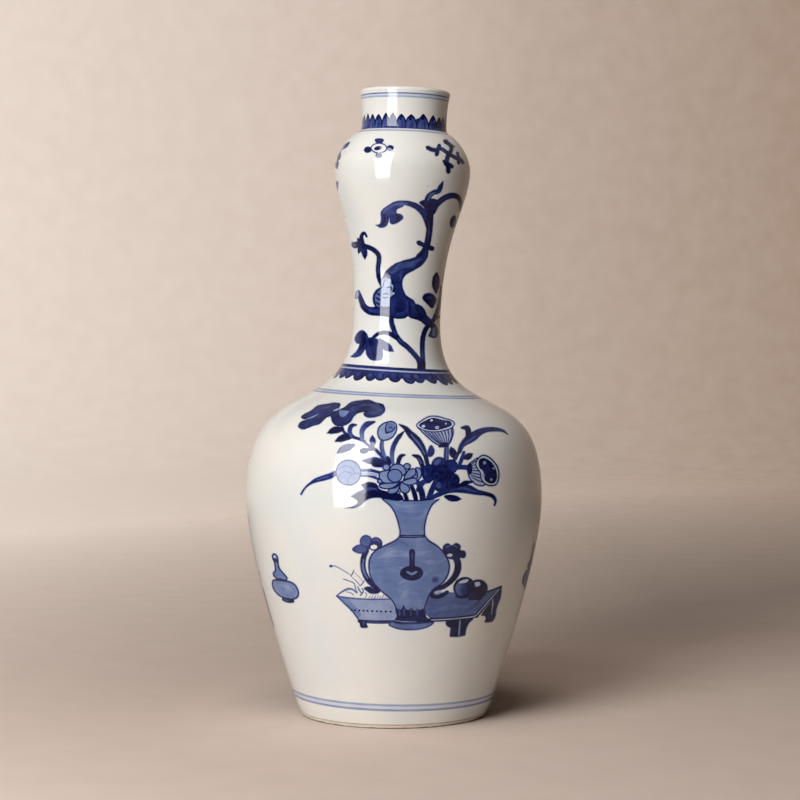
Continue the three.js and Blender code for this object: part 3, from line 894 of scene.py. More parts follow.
def paint_leaf_spray(p):
    """Long leaves above the flowers."""
    p.line([(20.6, 165.6), (19.4, 170.2), (17.4, 175), (13.8, 180), (10, 183.6), (7, 187), (3.2, 189.1)],
           (2.4, 2.8, 4, 4.8, 4.2, 2.8, 0.5), DARK)
    p.line([(19, 171.4), (15.6, 177.4), (10.6, 183)], (0.8, 1.4, 0.8), DEEP - 0.16)
    p.line([(2.6, 165.6), (3.4, 168.6), (4.6, 170.4), (6.8, 171)], (2.6, 2.6, 2.4, 1), DARK)
    p.line([(18, 162), (16.9, 166.2), (15, 169.6), (11.7, 170.8)], (2.6, 3, 3.2, 1), DARK)
    p.line([(16.8, 166), (15, 169)], (0.8, 1), DEEP - 0.16)
    p.wash([(20.6, 170.2), (21, 174), (22.8, 176.8), (25, 173.6), (24, 170.6), (22, 169.6)], DEEP + 0.05)
    p.line([(40, 172), (41.8, 176), (44.8, 178.8), (48.8, 181.2), (52.6, 183.6), (57, 185), (63, 185),
            (68, 183.8), (71, 181.4)], (2.4, 3.2, 5.2, 5.6, 4, 3, 2.6, 1.8, 0.5), DEEP + 0.06)
    p.line([(45.4, 179.6), (46, 183), (45.2, 186.4), (41.6, 186.8)], (3.2, 3.6, 3.6, 1), DARK)
    p.line([(42, 175), (45, 178), (50, 181)], (0.8, 1.5, 0.8), DEEP - 0.1)
    p.leaf((38, 168.6), (34.8, 175.6), 4.6, DARK, 0.04)
    p.leaf((43, 168.6), (48.6, 171), 3.8, DARK, -0.05)
    p.line([(43, 172), (41.6, 168), (40.2, 164.4)], (1.8, 2.4, 2.2), DEEP)
    p.line([(39.8, 172), (38, 169), (36.2, 166.6)], (1.8, 2.2, 2), DEEP)


def paint_seed_pods(p):
    """Two lotus seed pods."""
    p.line([(32.4, 176.4), (32.2, 172), (32, 166.6)], (2.8, 3, 3.4), DEEP)
    p.line([(32.5, 175.6), (32.3, 168)], (0.8, 1), MID)
    cup = [(15.6, 187, 1), (19.6, 183), (24, 179), (28, 176.6), (31.4, 176.4), (34.4, 178), (35.8, 182),
           (36, 187, 1)]
    p.wash(cup, PALE)
    for i in range(9):
        top = (17.4 + 2.25 * i, 186.6 - 1.2 * math.sin(math.pi * i / 8))
        foot = (27.9 + 0.72 * i, 177.4)
        middle = ((top[0] + foot[0]) / 2 + 0.2 * (i - 3), (top[1] + foot[1]) / 2)
        p.line([top, middle, foot], (0.9, 0.8, 0.5), DEEP - 0.05)
    p.line([(14.4, 187.6), (19.6, 182.6), (24, 178.8), (27.4, 176.6)], (0.7, 0.9, 0.8), DEEP)
    p.line([(36.2, 188), (36.4, 183), (35, 178.8), (33.8, 177)], (0.7, 0.9, 0.8), DEEP)
    p.wash([(27.2, 175.6), (28.6, 177.6), (31, 178.2), (33.8, 177.6), (33.4, 175.6), (30.4, 175.2)], DARK)
    rim = [(14, 188.4), (17, 191.2), (21.6, 193.6), (26.4, 193.8), (31.6, 192.4), (35.6, 191.2),
           (37.4, 189.4), (35.4, 186.8), (30, 185.2), (24, 184.6), (18, 185.8)]
    p.patch(rim, FAINT, 0.7, DEEP)
    p.patch([(15.8, 188.6), (19.4, 191), (24, 192.6), (30, 191.4), (34.8, 190.4), (35.4, 188.8),
             (31.4, 187), (24.6, 185.8), (18.6, 186.8)], DEEP + 0.08, 0.7, DARK)
    for u, s, wide in ((18.2, 188, 1.1), (23.2, 191.4, 0.9), (26.6, 187.2, 1.2), (32, 189.4, 0.6)):
        p.spot((u, s), wide, wide * 0.75, FAINT, 10)
    p.spot((26.6, 187.2), 0.5, 0.4, DEEP)

    p.line([(37, 163.3), (41, 163.2), (46.6, 162.6)], (3.6, 2.8, 3.2), DEEP)
    p.patch([(46.4, 165), (48.6, 166.4), (51.4, 168.2), (55, 168), (56, 152), (51.6, 151.8), (48, 154.4),
             (45.8, 158.4)], PALE, 0.8, DEEP + 0.05)
    for i in range(7):
        start = (47.2, 164.2 - 1.1 * i)
        end = (53.4 + 0.3 * i, 167.2 - 2.3 * i)
        middle = ((start[0] + end[0]) / 2, (start[1] + end[1]) / 2 + 0.2 * (3 - i))
        p.line([start, middle, end], (0.5, 0.8, 0.8), DEEP)
    p.patch([(51.2, 167), (54.2, 169.6), (57.6, 169), (61.2, 166), (63.8, 162.4), (64.8, 158),
             (64.4, 154.6), (63, 151.8), (59.6, 151.2), (56, 152.6), (53.6, 155.8), (53.2, 159.2),
             (51.6, 161.6), (50.4, 164.4)], FAINT, 0.8, DARK)
    p.wash([(52.4, 167), (55, 168.2), (58.4, 166.8), (61.4, 163.8), (63.2, 160), (63.6, 155.4),
            (61.8, 152.6), (58.4, 152.8), (55.8, 155), (55.4, 158.4), (54.4, 160.6), (52.4, 162.6)], DARK)
    for u, s, wide in ((55.8, 165.2, 0.9), (55.2, 157.6, 0.7), (61.4, 161.6, 0.6), (60, 154.8, 0.7)):
        p.bud((u, s), wide, wide, PALE, 0.5, WASH)
    p.line([(57.4, 163.6), (59.4, 160)], (0.4, 0.8), DEEP)
    p.wash([(45.6, 164.8), (47.4, 165.4), (48.2, 162), (47.4, 158.8), (45.8, 158.4), (44.8, 161.4)], DARK)


def paint_dark_blossom(p):
    """The blossom in full cobalt."""
    p.line([(15, 150), (18, 154.6), (22, 155)], (3, 3.4, 2), DEEP)
    for u, s, wide, tall in (
        (35, 163.6, 3.9, 4),
        (27.8, 164.8, 4.4, 4.4),
        (21.6, 160, 4.2, 5),
        (35.6, 155, 4.4, 4.4),
        (28.6, 153, 4, 4.2),
    ):
        p.bud((u, s), wide, tall, DEEP + 0.06, 0.8, DARK)
    p.spot((29.2, 159.4), 6.4, 5.6, DARK)
    p.wash([(24.6, 166), (26, 168), (28.8, 168.2), (28, 166.2), (26, 164.6)], DEEP - 0.12)
    p.spot((27.4, 152.4), 1.6, 1.9, DEEP - 0.1)
    p.line([(19, 162), (19.4, 158.6)], (0.6, 1.2), DEEP - 0.06)
    for u, s, wide in ((29, 160, 2.6), (31.6, 157.4, 2), (26.4, 157.8, 2)):
        p.ring((u, s), wide, wide, 0.4, DEEP + 0.02)


def paint_peony(p):
    """The pale flower in front of the vase's mouth."""
    fill, edge, width = WASH - 0.02, DEEP + 0.06, 0.85
    for petal in (
        [(-2.4, 161), (-1.2, 164.4), (2.4, 165.6), (6, 164.2), (7.6, 160.6), (4, 158)],
        ((-4.4, 163.7), 2.1, 1.9),
        ((8.2, 164.2), 2, 1.7),
        [(13.6, 163.2), (16.2, 162.6), (17, 159.4), (15.6, 156.4), (13.6, 155.6), (14.4, 159.4)],
        ((13.2, 158), 1.4, 1.2),
        [(6, 156.2, 1), (7.6, 160), (9.4, 162.2), (13, 162.4), (13.2, 159.4), (10.4, 157.4)],
        [(-1.8, 161.8), (-5, 161.6), (-8.4, 160.4), (-8.4, 156.8), (-5.4, 154.2), (-0.6, 154.4),
         (-3, 157.6)],
        ((-8.4, 155.2), 1.4, 1.2),
        ((-6.6, 152.7), 2, 1.7),
        [(4, 154.8, 1), (0, 154.2), (-4.6, 154), (-8.8, 152.6), (-5.6, 150.8), (0, 151.6)],
        [(4, 154.6, 1), (1.6, 151.6), (-2.6, 150.4), (-3.6, 148.2), (-0.6, 147.6), (2.6, 149.4)],
        [(4.4, 154.6, 1), (8, 153.2), (9.8, 150.4), (8.2, 148.2), (5.2, 148.6), (3.8, 151.2)],
        [(4.6, 155, 1), (8.4, 156.4), (13.2, 157), (14.2, 154.8), (11.6, 153.2), (7.6, 153.2)],
    ):
        if isinstance(petal, list):
            p.patch(petal, fill, width, edge)
        else:
            p.bud(*petal, fill, width, edge)
    p.bud((3, 148.4), 1, 0.9, fill, 0.6, edge)
    p.bud((0.8, 158.6), 4.4, 3.9, fill + 0.03, width, edge, -6)


def paint_mouth_leaves(p):
    """Leaves and stems that come out of the mouth of the flower vase."""
    p.wash([(-6, 143.6), (-7.6, 145), (-14, 144.8), (-17.2, 143.2), (-19.6, 140.8), (-24, 138.8),
            (-30, 138.6, 1), (-25, 139.8), (-21.8, 142.2), (-22.8, 144), (-26.2, 145.9, 1), (-21.6, 148.6),
            (-18, 150.4), (-19.8, 153, 1), (-15, 154.7), (-10, 153.4), (-8.6, 150.8), (-3, 149),
            (4, 147.6), (6, 144), (0, 143.2)], DARK)
    p.line([(-19, 148), (-14.4, 150.6), (-10.6, 150.4)], (0.8, 2, 0.8), DEEP - 0.12)
    p.line([(8.4, 143), (7.4, 146), (6.2, 149.4)], (2.6, 2.4, 2), DARK)
    p.line([(13.8, 143), (12.6, 148), (10.8, 152.6)], (2.6, 2.8, 2.2), DARK)
    p.line([(18, 143), (17.2, 148), (15, 154.4)], (3.6, 3.6, 3), DEEP + 0.05)
    p.line([(20.4, 143), (22.6, 148), (25.2, 154.6)], (2.6, 3.4, 2.6), DEEP + 0.05)
    p.line([(21, 144), (27.4, 147), (33.5, 149.4), (40.2, 150.4), (45.6, 149.6), (51, 147.6), (57, 146.2),
            (61, 144.4), (62.6, 141.6), (62, 138.8)],
           (2.4, 2.8, 3.2, 4.4, 5.6, 5.2, 3.2, 2.4, 2.2, 1), DEEP + 0.06)
    p.line([(39, 151), (43.6, 153.4), (48.6, 154.2)], (2, 3, 1), DARK)
    p.line([(34, 149), (42, 150.4), (50, 147.8)], (0.8, 1.6, 0.8), DEEP - 0.08)
    p.leaf((31.6, 145.6), (41.4, 143.8), 4, DARK, -0.03)
    p.line([(6, 143.6), (14, 143.2), (24, 143.8)], (1.2, 1, 1.4), DARK)


def paint_flower_vase(p):
    """The baluster vase that holds the flowers."""
    left = [(-6.6, 144.3), (-4.2, 142.4), (-1.6, 140), (1, 135.6), (3, 129.6), (4, 124), (3.4, 121.2),
            (0.6, 118.8), (-5, 116), (-11, 112.6), (-14.3, 108), (-15, 103), (-14.4, 98), (-11.8, 92.2),
            (-6.4, 86.6), (-1.6, 82.3), (1, 78), (1.8, 73)]
    right = [(18.9, 73), (18.9, 76.6), (20, 80), (21.4, 84), (24, 88), (29, 91.4), (32.4, 95.4), (34, 101),
             (33.6, 105.2), (31, 110.4), (27, 114.9), (21.2, 119), (19.2, 121.6), (18.7, 126),
             (19.6, 131.8), (21.2, 136.6), (23.6, 141), (27.4, 144)]
    p.wash(left[::-1] + [(3, 143.2), (18, 143.2)] + right[::-1], WASH + 0.03)
    for line, width, tone in (
        ([(-11, 108), (0, 111), (12, 110.6), (24, 112.4)], 4, -0.05),
        ([(-13, 101), (-4, 104), (6, 103.4)], 3.6, 0.03),
        ([(18, 106), (26, 105), (32, 106.6)], 3.4, -0.04),
        ([(3, 92), (8, 96), (7, 101), (2, 103)], 3, -0.05),
        ([(17, 92), (21, 97), (29, 99)], 3.6, 0.04),
        ([(-8, 92.4), (-2, 93.4), (4, 89)], 3.6, 0.05),
        ([(4, 82), (9, 87), (16, 85)], 3.8, -0.04),
        ([(4, 127), (10, 129.6), (17, 128.4)], 3, -0.03),
        ([(2.6, 137), (10, 134.4), (19, 136.6)], 3, 0.05),
        ([(-2, 142), (8, 140), (16, 141.4)], 2, -0.04),
        ([(-4, 115), (4, 118.4), (9, 115.6)], 2.6, 0.1),
    ):
        p.line(line, (0.3, width, 0.8 * width, 0.3), WASH + 0.03 + tone)
    p.spot((25.4, 94.4), 2.4, 2.2, MID + 0.03)
    p.spot((25.4, 94.4), 1.4, 1.3, MID + 0.1)
    p.line([(4.4, 121.7), (11, 121.5), (18.4, 121.7)], 2, DARK)
    p.line([(4.8, 121.7), (11, 121.5), (18, 121.7)], (0.3, 0.6, 0.3), MID)
    p.spot((11, 98.7), 7.2, 4.7, DARK)
    p.line([(8.4, 99.4), (11, 98.2), (13.8, 99.4)], (1.3, 1.7, 1.3), WASH)
    p.line([(11.3, 112), (11.3, 106), (11.2, 101)], (3.9, 3.2, 3.6), DARK)
    p.line([(11.4, 111), (11.3, 103)], (0.8, 0.6), DEEP - 0.06)
    p.wash([(1.4, 77.4, 1), (2.8, 76), (4.6, 76), (6, 78.6, 1), (7.8, 75.8), (9.2, 75.6), (10.6, 77, 1),
            (12.4, 75.2), (13.6, 75), (14.8, 76.2, 1), (16.6, 75.4), (17.9, 76.4, 1), (19.4, 75), (20, 71),
            (23.8, 68), (22, 66.6), (10, 66.2), (0, 66.6), (-0.6, 68), (1.6, 71)], DARK)
    for u in (3.4, 6.4, 10.4, 14.4):
        p.line([(u, 75.6), (u + 0.2, 72)], (1.4, 0.8), DEEP - 0.08)
    p.patch([(-2.8, 66.2), (1, 64.2), (6, 63.1), (12, 62.9), (18, 63.6), (22.6, 65.4), (24.6, 67.4),
             (22, 67.2), (12, 66.6), (2, 67), (-1, 68)], MID - 0.06, 0.8, DEEP)
    p.line([(0.4, 68.8), (6, 68), (14, 67.8)], (0.3, 0.7, 0.3), WASH)
    p.line(left, (0.8, 0.9, 1, 0.9, 0.8), DEEP + 0.06)
    p.line(right, (0.8, 0.9, 1, 0.9, 0.9), DEEP + 0.06)


def paint_left_handle(p):
    """The left handle with its curled leaf."""
    p.line([(-16.6, 113), (-18.3, 108), (-18.7, 103), (-17.5, 98), (-15, 93.8), (-12, 91), (-9, 89)],
           (3.4, 3.2, 3.2, 3.3, 3.4, 3.8), DARK)
    p.line([(-18.3, 107), (-18.8, 103), (-17.8, 98.8), (-16, 95.4)], (1.2, 1.5, 1.3, 0.8), MID - 0.02)
    p.wash([(-18.2, 88.8), (-16, 90.2), (-13.4, 89.8), (-12.4, 89), (-11.4, 91), (-8.6, 89), (-8.2, 87),
            (-10.4, 85.8), (-14.6, 86), (-16.2, 87.2)], DARK)
    p.patch([(-24.9, 113.2), (-22, 115.6), (-18.4, 116), (-16, 113.6), (-17, 111.6), (-21, 111.2)],
            MID + 0.08, 0.8, DEEP)
    p.patch([(-19.6, 116.2), (-20, 119.4), (-17.6, 121.9), (-14.6, 121.2), (-13.4, 118.4), (-15.6, 115.4)],
            MID + 0.06, 0.8, DEEP)
    p.wash([(-14.6, 117), (-13.4, 120), (-10.4, 121.1), (-7.6, 119.4), (-6.8, 116), (-8.4, 114.6),
            (-11.4, 112.6), (-14, 113.4), (-16, 114.4)], DEEP + 0.04)
    p.line([(-12.8, 119), (-10.2, 119.6), (-8.2, 117.6)], (0.6, 1.4, 0.5), DEEP - 0.16)
    p.spot((-12, 115), 2.1, 1.4, BARE, 6)


def paint_right_handle(p):
    """The right handle with its curled leaf and scrolled foot."""
    p.line([(37.4, 109), (39.2, 104.6), (39.2, 100), (37.4, 95.8), (34.6, 92.6), (31, 90), (27, 88.2),
            (23.4, 86.2), (23.6, 84), (27, 83.2), (30.4, 84.4), (32.8, 86)],
           (4.4, 4, 4.2, 4, 3.6, 3.2, 3, 3, 2.6, 2.4, 2.6, 2.4), DARK)
    p.wash([(24.6, 86.2), (26, 85.2), (28.4, 85.6), (29.6, 87.4), (27.4, 87.4)], PALE)
    p.wash([(29.8, 112.4), (30.6, 115.6), (33.2, 116.8), (35.4, 115.4), (38.4, 116.8), (41, 114.8),
            (40.8, 112.4), (43.4, 111.6), (44.4, 109.4), (43.4, 107.2), (40, 107.4), (36.6, 106.6),
            (33.2, 107.4), (31, 109.8)], DARK)
    p.line([(32, 114.6), (34, 115)], (1.2, 0.8), DEEP - 0.1)
    p.line([(37.4, 115), (39.4, 114)], (1.2, 0.8), DEEP - 0.1)
    p.spot((34.3, 109.3), 1.7, 1.1, FAINT)


def paint_tray(p):
    """The footed tray of rock and reeds at the left."""
    for reed, width, tone in (
        ([(-38.6, 102.4), (-36.2, 102.5), (-31, 100), (-26.2, 97), (-25.6, 96.2)], (1, 0.9, 0.8, 0.7),
         WASH - 0.06),
        ([(-26, 96.4), (-24.8, 98.8), (-24.2, 100.4)], (0.7, 0.9, 0.6), MID - 0.06),
        ([(-25.2, 95.6), (-22.4, 93), (-20.3, 90.4)], (0.5, 0.8, 0.7), WASH - 0.06),
        ([(-24.4, 99.2), (-21, 96), (-18.4, 92.8)], (0.4, 0.7, 0.6), PALE),
        ([(-20.4, 90.6), (-19, 92), (-18.2, 93.6)], (0.6, 0.9, 0.7), MID - 0.06),
        ([(-30.5, 94.4), (-27, 93.3), (-24, 91.8), (-23.4, 89), (-22.4, 86.4)], (0.9, 0.8, 0.9, 0.8),
         WASH),
        ([(-35, 83.6), (-31, 86.8), (-27.4, 88.4), (-25, 88), (-22.4, 86)], (0.7, 0.8, 1.1, 0.9, 0.7),
         MID + 0.04),
        ([(-29, 86.4), (-26.4, 86), (-24.6, 84.6)], (0.4, 0.8, 0.7), WASH),
        ([(-22, 90), (-20.8, 87.6), (-19.4, 85.6)], (0.5, 0.8, 0.6), MID),
        ([(-19.2, 89), (-18.6, 87), (-20.4, 84.4)], (0.5, 0.8, 0.6), MID),
        ([(-17.4, 86.6), (-16.4, 85), (-17.2, 83.4)], (0.5, 0.7, 0.5), WASH),
    ):
        p.line(reed, width, tone)
    p.spot((-38.4, 102.3), 1, 0.8, DEEP)
    for i in range(8):
        u = -15 + 1.6 * i
        p.line([(u, 82.8), (u + 0.9, 84.6 + 0.5 * (i % 2))], (0.8, 0.5), PALE + 0.06 * (i % 3))
    p.wash([(-35, 83.8, 1), (-30.4, 79), (-25.8, 74.4), (-21.2, 69, 1), (1, 69, 1), (1.6, 74),
            (-1.4, 82.4, 1), (-15, 82.2), (-26, 82.6)], PALE + 0.06)
    p.wash([(-34, 83.2, 1), (-29.4, 78.8), (-25.4, 75), (-22, 70.6), (-20, 72), (-25, 79), (-28.6, 82.6)],
           WASH)
    p.line([(-35, 83.7), (-29.6, 78.6), (-25.4, 74.4), (-21, 68.6)], (0.9, 1, 1, 0.9), DEEP - 0.1)
    p.line([(-35, 83.4), (-26, 82.5), (-15, 82.1), (-1.6, 82.4)], (0.8, 0.9, 0.9, 0.6), DEEP - 0.14)
    for u in (-25.7, -23.8, -21, -18.4, -16, -13, -10.2, -7.8, -4.8, -1.8):
        p.spot((u, 74.9 - 0.02 * (u + 25)), 0.72, 0.68, DARK)
    p.line([(-21, 68), (-10, 67.8), (1.4, 68)], 2.2, DARK)
    p.line([(-16, 67.8), (-8, 67.6), (-2, 67.7)], (0.5, 1, 0.5), DEEP - 0.1)
    p.wash([(-21, 68.8, 1), (-20.2, 64.2), (-18, 63.8), (-15.8, 64.4), (-16.6, 66.4), (-16, 68.8, 1)],
           DARK)
    p.line([(-18.4, 67.6), (-18.2, 65.4)], (1.2, 0.6), DEEP - 0.06)


def paint_table(p):
    """The low table with two fruits at the right."""
    p.wash([(21, 85, 1), (28, 86), (38, 85.6), (48, 84), (57, 84.4), (66.4, 86.6, 1), (60, 79.4),
            (51.4, 69.8, 1), (40, 69.2), (23.4, 69, 1), (19.6, 73), (19.4, 78)], MID + 0.02)
    p.line([(24, 74), (34, 76.6), (46, 76)], (1, 4, 1), MID - 0.05)
    p.line([(44, 73), (49, 76), (54, 80)], (1, 3.4, 1), MID + 0.1)
    p.wash([(32.4, 68.6, 1), (32, 65.8), (33.4, 64), (35, 63, 1), (34.5, 57.4, 1), (39, 57),
            (44.2, 57.4, 1), (45.2, 62.6), (47.2, 66), (49.2, 67.6), (49.2, 69.6, 1)], DARK)
    p.line([(40.9, 68.4), (40.6, 63), (40.2, 58)], (1, 1.1, 0.9), WASH - 0.05)
    p.wash([(53.8, 69.6, 1), (56.6, 69, 1), (57.2, 67, 1), (56.2, 64.9, 1), (59.4, 64.4), (61.8, 65),
            (63.4, 68), (63.8, 72), (65.4, 76.6), (66.6, 80), (67.2, 86.8, 1), (61, 79)], DARK)
    p.line([(61.5, 79.6), (61.3, 74), (60.8, 69.4)], (0.9, 1, 0.6), WASH - 0.05)
    p.line([(23, 68.9), (36, 68.8), (50.9, 69.6)], (2.6, 2.6, 2.4), DARK)
    p.line([(51, 69.6), (58, 77.4), (66.6, 86.4)], (2.8, 2.4, 1.4), DARK)
    p.line([(23, 68.8), (36, 68.8), (50.4, 69.6), (51.4, 70.2, 1), (58, 77.5), (65.4, 85.2)],
           (0.7, 0.7, 0.8, 0.8, 0.6), PALE)
    p.line([(57, 84.4), (62, 85.6), (66.8, 86.8)], (1, 1.1, 1.4), DARK)

    p.wash([(46, 80.4), (50, 79.8), (54.6, 80.4), (55, 82.6), (50, 84), (46.6, 83)], DARK)
    p.wash([(37.6, 83), (40, 81.8), (45.6, 81.8), (47, 84), (42, 86)], DARK)
    p.bud((51.6, 86.7), 6.1, 5.8, DARK, 0.9, DARK)
    p.wash([(49.2, 89.4), (50.4, 91.4), (53.2, 91), (53.4, 89.4), (51.2, 88.4)], FAINT)
    p.bud((43.4, 88.4), 6.3, 6.2, DARK, 1, DARK)
    p.wash([(37.9, 88), (39.2, 91.4), (41.8, 90.6), (44.6, 90), (45.6, 86.4), (43.6, 83.6), (40, 83.8)],
           (MID - 0.08, DEEP + 0.04), [(38, 88), (46.4, 86)])
    p.wash([(39.6, 91.6), (42, 93.2), (46, 93.4), (45.4, 92), (42.4, 91.2)], FAINT)


def paint_gourd(p, lift=0.0, fill=WASH):
    """A double gourd bottle, drawn higher by its lift."""
    low = [(-75.3, 89.6), (-76, 86.4), (-74.7, 83), (-72, 80.5), (-69, 79.4), (-63, 79.2), (-60, 80.7),
           (-59, 83.4), (-59.8, 86.5), (-62, 89.2), (-65.8, 90.4), (-70, 90.3), (-73.4, 90.1)]
    high = [(-75.6, 105.4), (-74.6, 107), (-72.9, 106.2), (-72, 103.4), (-71.8, 100), (-70.8, 97.4),
            (-68, 94.6), (-66.3, 92.4), (-67, 91), (-69.6, 90.7), (-73, 91.2), (-75, 92.8), (-75, 94.6),
            (-73.8, 96.2), (-73.8, 98.6), (-74.3, 101.6), (-75.2, 103.6)]
    foot = [(-69.9, 79.8, 1), (-69.6, 77.5), (-65.4, 76.4), (-62, 77.2), (-61.8, 79.5, 1)]
    p.wash(lifted(foot, lift), DARK)
    p.line(lifted([(-68, 78.1), (-66, 77.5)], lift), (0.8, 0.6), DEEP - 0.2)
    p.patch(lifted(low, lift), fill, 1, DEEP + 0.05)
    p.line(lifted([(-72, 87.3), (-66, 86.5), (-62, 83.8)], lift), (0.5, 3, 0.5), fill - 0.05)
    p.patch(lifted(high, lift), fill + 0.04, 1, DEEP + 0.05)
    p.line(lifted([(-73.4, 90.6), (-70.6, 90.9), (-67.4, 90.4)], lift), (1, 1.8, 1.4), DARK)
    p.line(lifted([(-74.9, 103.4), (-73.4, 103), (-72.2, 102)], lift), (1.6, 2.2, 1.2), DARK)
    p.spot((-74.2, 105.3 + lift), 0.8, 0.8, FAINT)


def lifted(points, lift):
    """Drawn points moved up."""
    return [(point[0], point[1] + lift, *point[2:]) for point in points]


def paint_brush_pot(p):
    """A straight-sided pot with brushes."""
    p.line([(-4, 79), (-9, 92)], (1, 0.8), DEEP)
    p.line([(0, 79), (1, 96)], (1, 0.8), DEEP)
    p.leaf((1, 94), (1.6, 101), 2.4, DARK)
    p.line([(4, 79), (9, 90)], (1, 0.8), DEEP)
    p.spot((9.4, 91), 1.4, 1.2, DARK)
    p.patch([(-9.4, 79, 1), (-9.8, 68), (-9.2, 56, 1), (0, 54.6), (9.2, 56, 1), (9.8, 68), (9.4, 79, 1)],
            MID, 0.9, DARK)
    p.bud((0, 79), 9.4, 1.8, MID, 0.8, DEEP)
    p.line([(-9.6, 75), (0, 73.6), (9.6, 75)], 0.8, DEEP)
    p.line([(-9.6, 60), (0, 58.6), (9.6, 60)], 0.8, DEEP)
    paint_plum(p, 0, 67)


def paint_plum(p, u, s):
    """A five-petalled blossom."""
    for i in range(5):
        turn = math.radians(90 + 72 * i)
        p.bud((u + 2.6 * math.cos(turn), s + 2.6 * math.sin(turn)), 1.9, 1.9, FAINT, 0.6, DEEP)
    p.spot((u, s), 1, 1, DARK)


def paint_antiques(p):
    """The flower vase with its tray, table and flowers."""
    flowers = (paint_lotus_leaf, paint_leaf_spray, paint_buds, paint_seed_pods, paint_dark_blossom)
    mouth = (paint_mouth_leaves, paint_peony)
    objects = (paint_tray, paint_table, paint_left_handle, paint_right_handle, paint_flower_vase)
    for paint in flowers + mouth + objects:
        paint(p)


def paint_body(p):
    """The antiques on two sides of the body, with small objects between them."""
    paint_antiques(p)
    paint_gourd(p)
    p.turn_to(-83)
    paint_brush_pot(p)
    p.turn_to(129)
    # Painted shade: this gourd on the shaded right side is filled deeper than the other gourds
    paint_gourd(p, 4, DEEP)
    p.turn_to(112)
    paint_brush_pot(p)
    p.turn_to(180, mirrored=True)
    paint_antiques(p)
    paint_gourd(p)
    p.turn_to(0)
    p.band(12.6, 5.8, FAINT - 0.11, -1)
    p.band(12.5, 2.8, FAINT - 0.06, -1)
    p.band(14.2, 1.35, PALE + 0.02, -1)
    p.band(10.95, 1.4, WASH - 0.08, -1)


# Sections: closed profiles turned about the axis, with the painting set into their outside


class Profile:
    """The line that one section is turned from, in runs of points with their normals."""

    def __init__(self):
        self.points = []
        self.normals = []
        self.lengths = []
        self.rows = []
        self.length = 0.0
        self.painted = None
        self.heights = None

    def add(self, points, spacing, columns, normals=None, heights=None):
        """Adds a run, and rows at most the spacing or a small turn apart along it."""
        points = np.asarray(points, float)
        normals = outward(points) if normals is None else normals
        if self.points:
            self.length += np.linalg.norm(points[0] - self.points[-1][-1])
        steps = np.linalg.norm(np.diff(points, axis=0), axis=1)
        along = self.length + np.concatenate([[0], np.cumsum(steps)])
        last = len(points) - 1
        chosen = [0]
        for i in range(1, len(points)):
            bend = math.acos(min(1.0, float(normals[i] @ normals[chosen[-1]])))
            if i == last or along[i + 1] - along[chosen[-1]] > spacing or bend > ROW_TURN:
                chosen.append(i)
        self.rows += [(along[i], columns) for i in chosen]
        self.points.append(points)
        self.normals.append(normals)
        self.lengths.append(along)
        if heights is not None:
            self.painted = (along[0], along[-1])
            self.heights = (heights, along)
        self.length = along[-1]

    def add_outside(self, wall, low, high, proud, spacing):
        """Adds the painted outside of the wall between two heights."""
        points, normals, heights = wall.stretch("outside", low, high, proud)
        self.add(points, spacing, COLUMNS, normals, heights)

    def add_inside(self, wall, low, high, proud, spacing, columns):
        """Adds the inside of the wall between two heights, from the top down."""
        points, normals, _ = wall.stretch("inside", low, high, proud)
        self.add(points[::-1], spacing, columns, normals[::-1])

    def close(self):
        """Joins the runs into one line that can be read at any length along it."""
        self.points = np.vstack(self.points)
        self.normals = np.vstack(self.normals)
        self.lengths = np.concatenate(self.lengths)

    def read(self, along):
        """Radius, height and normal at lengths along the line."""
        point = np.column_stack([np.interp(along, self.lengths, self.points[:, i]) for i in (0, 1)])
        normal = np.column_stack([np.interp(along, self.lengths, self.normals[:, i]) for i in (0, 1)])
        return point, normal / np.maximum(np.linalg.norm(normal, axis=1), TINY)[:, None]


def joint_edge(wall, joint, above):
    """The stepped end of the section above or below a slip joint, from one skin to the other."""
    gap = wall.shape.joint_clearance
    back = joint + wall.joint_back if above else joint - wall.joint_back
    low, high = min(joint, back), max(joint, back)
    outer = wall.stretch("outside", low, high, gap)[0]
    inner = wall.stretch("inside", low, high, gap)[0]
    at_joint, at_back = (0, -1) if above else (-1, 0)
    step = [outer[at_joint], outer[at_back], inner[at_back], inner[at_joint]]
    return np.array(step[::-1] if above else step)


def wall_profile(wall, glaze, low, high):
    """A section of wall between two joints."""
    proud = glaze.thickness
    middle = (low + high) / 2
    profile = Profile()
    profile.add_inside(wall, low, middle, proud, HIDDEN_SPACING, HIDDEN_COLUMNS)
    profile.add(joint_edge(wall, low, True), HIDDEN_SPACING, COLUMNS)
    profile.add_outside(wall, low, high, proud, PAINTED_SPACING)
    profile.add(joint_edge(wall, high, False), HIDDEN_SPACING, COLUMNS)
    profile.add_inside(wall, middle, high, proud, HIDDEN_SPACING, HIDDEN_COLUMNS)
    profile.close()
    return profile


def collar_profile(wall, glaze):
    """The collar from its joint up over the lip and down inside."""
    v = wall.shape
    proud = glaze.thickness
    low, high = wall.collar_joint, wall.rim
    middle = (low + high) / 2
    lip = arc((v.rim_radius - v.rim_wall / 2, high), v.rim_wall / 2 + proud, 0, math.pi)
    profile = Profile()
    profile.add_inside(wall, low, middle, proud, PAINTED_SPACING, COLUMNS)
    profile.add(joint_edge(wall, low, True), HIDDEN_SPACING, COLUMNS)
    profile.add_outside(wall, low, high, proud, PAINTED_SPACING)
    profile.add(lip[1:-1], PAINTED_SPACING, COLUMNS)
    profile.add_inside(wall, middle, high, proud, PAINTED_SPACING, COLUMNS)
    profile.close()
    return profile


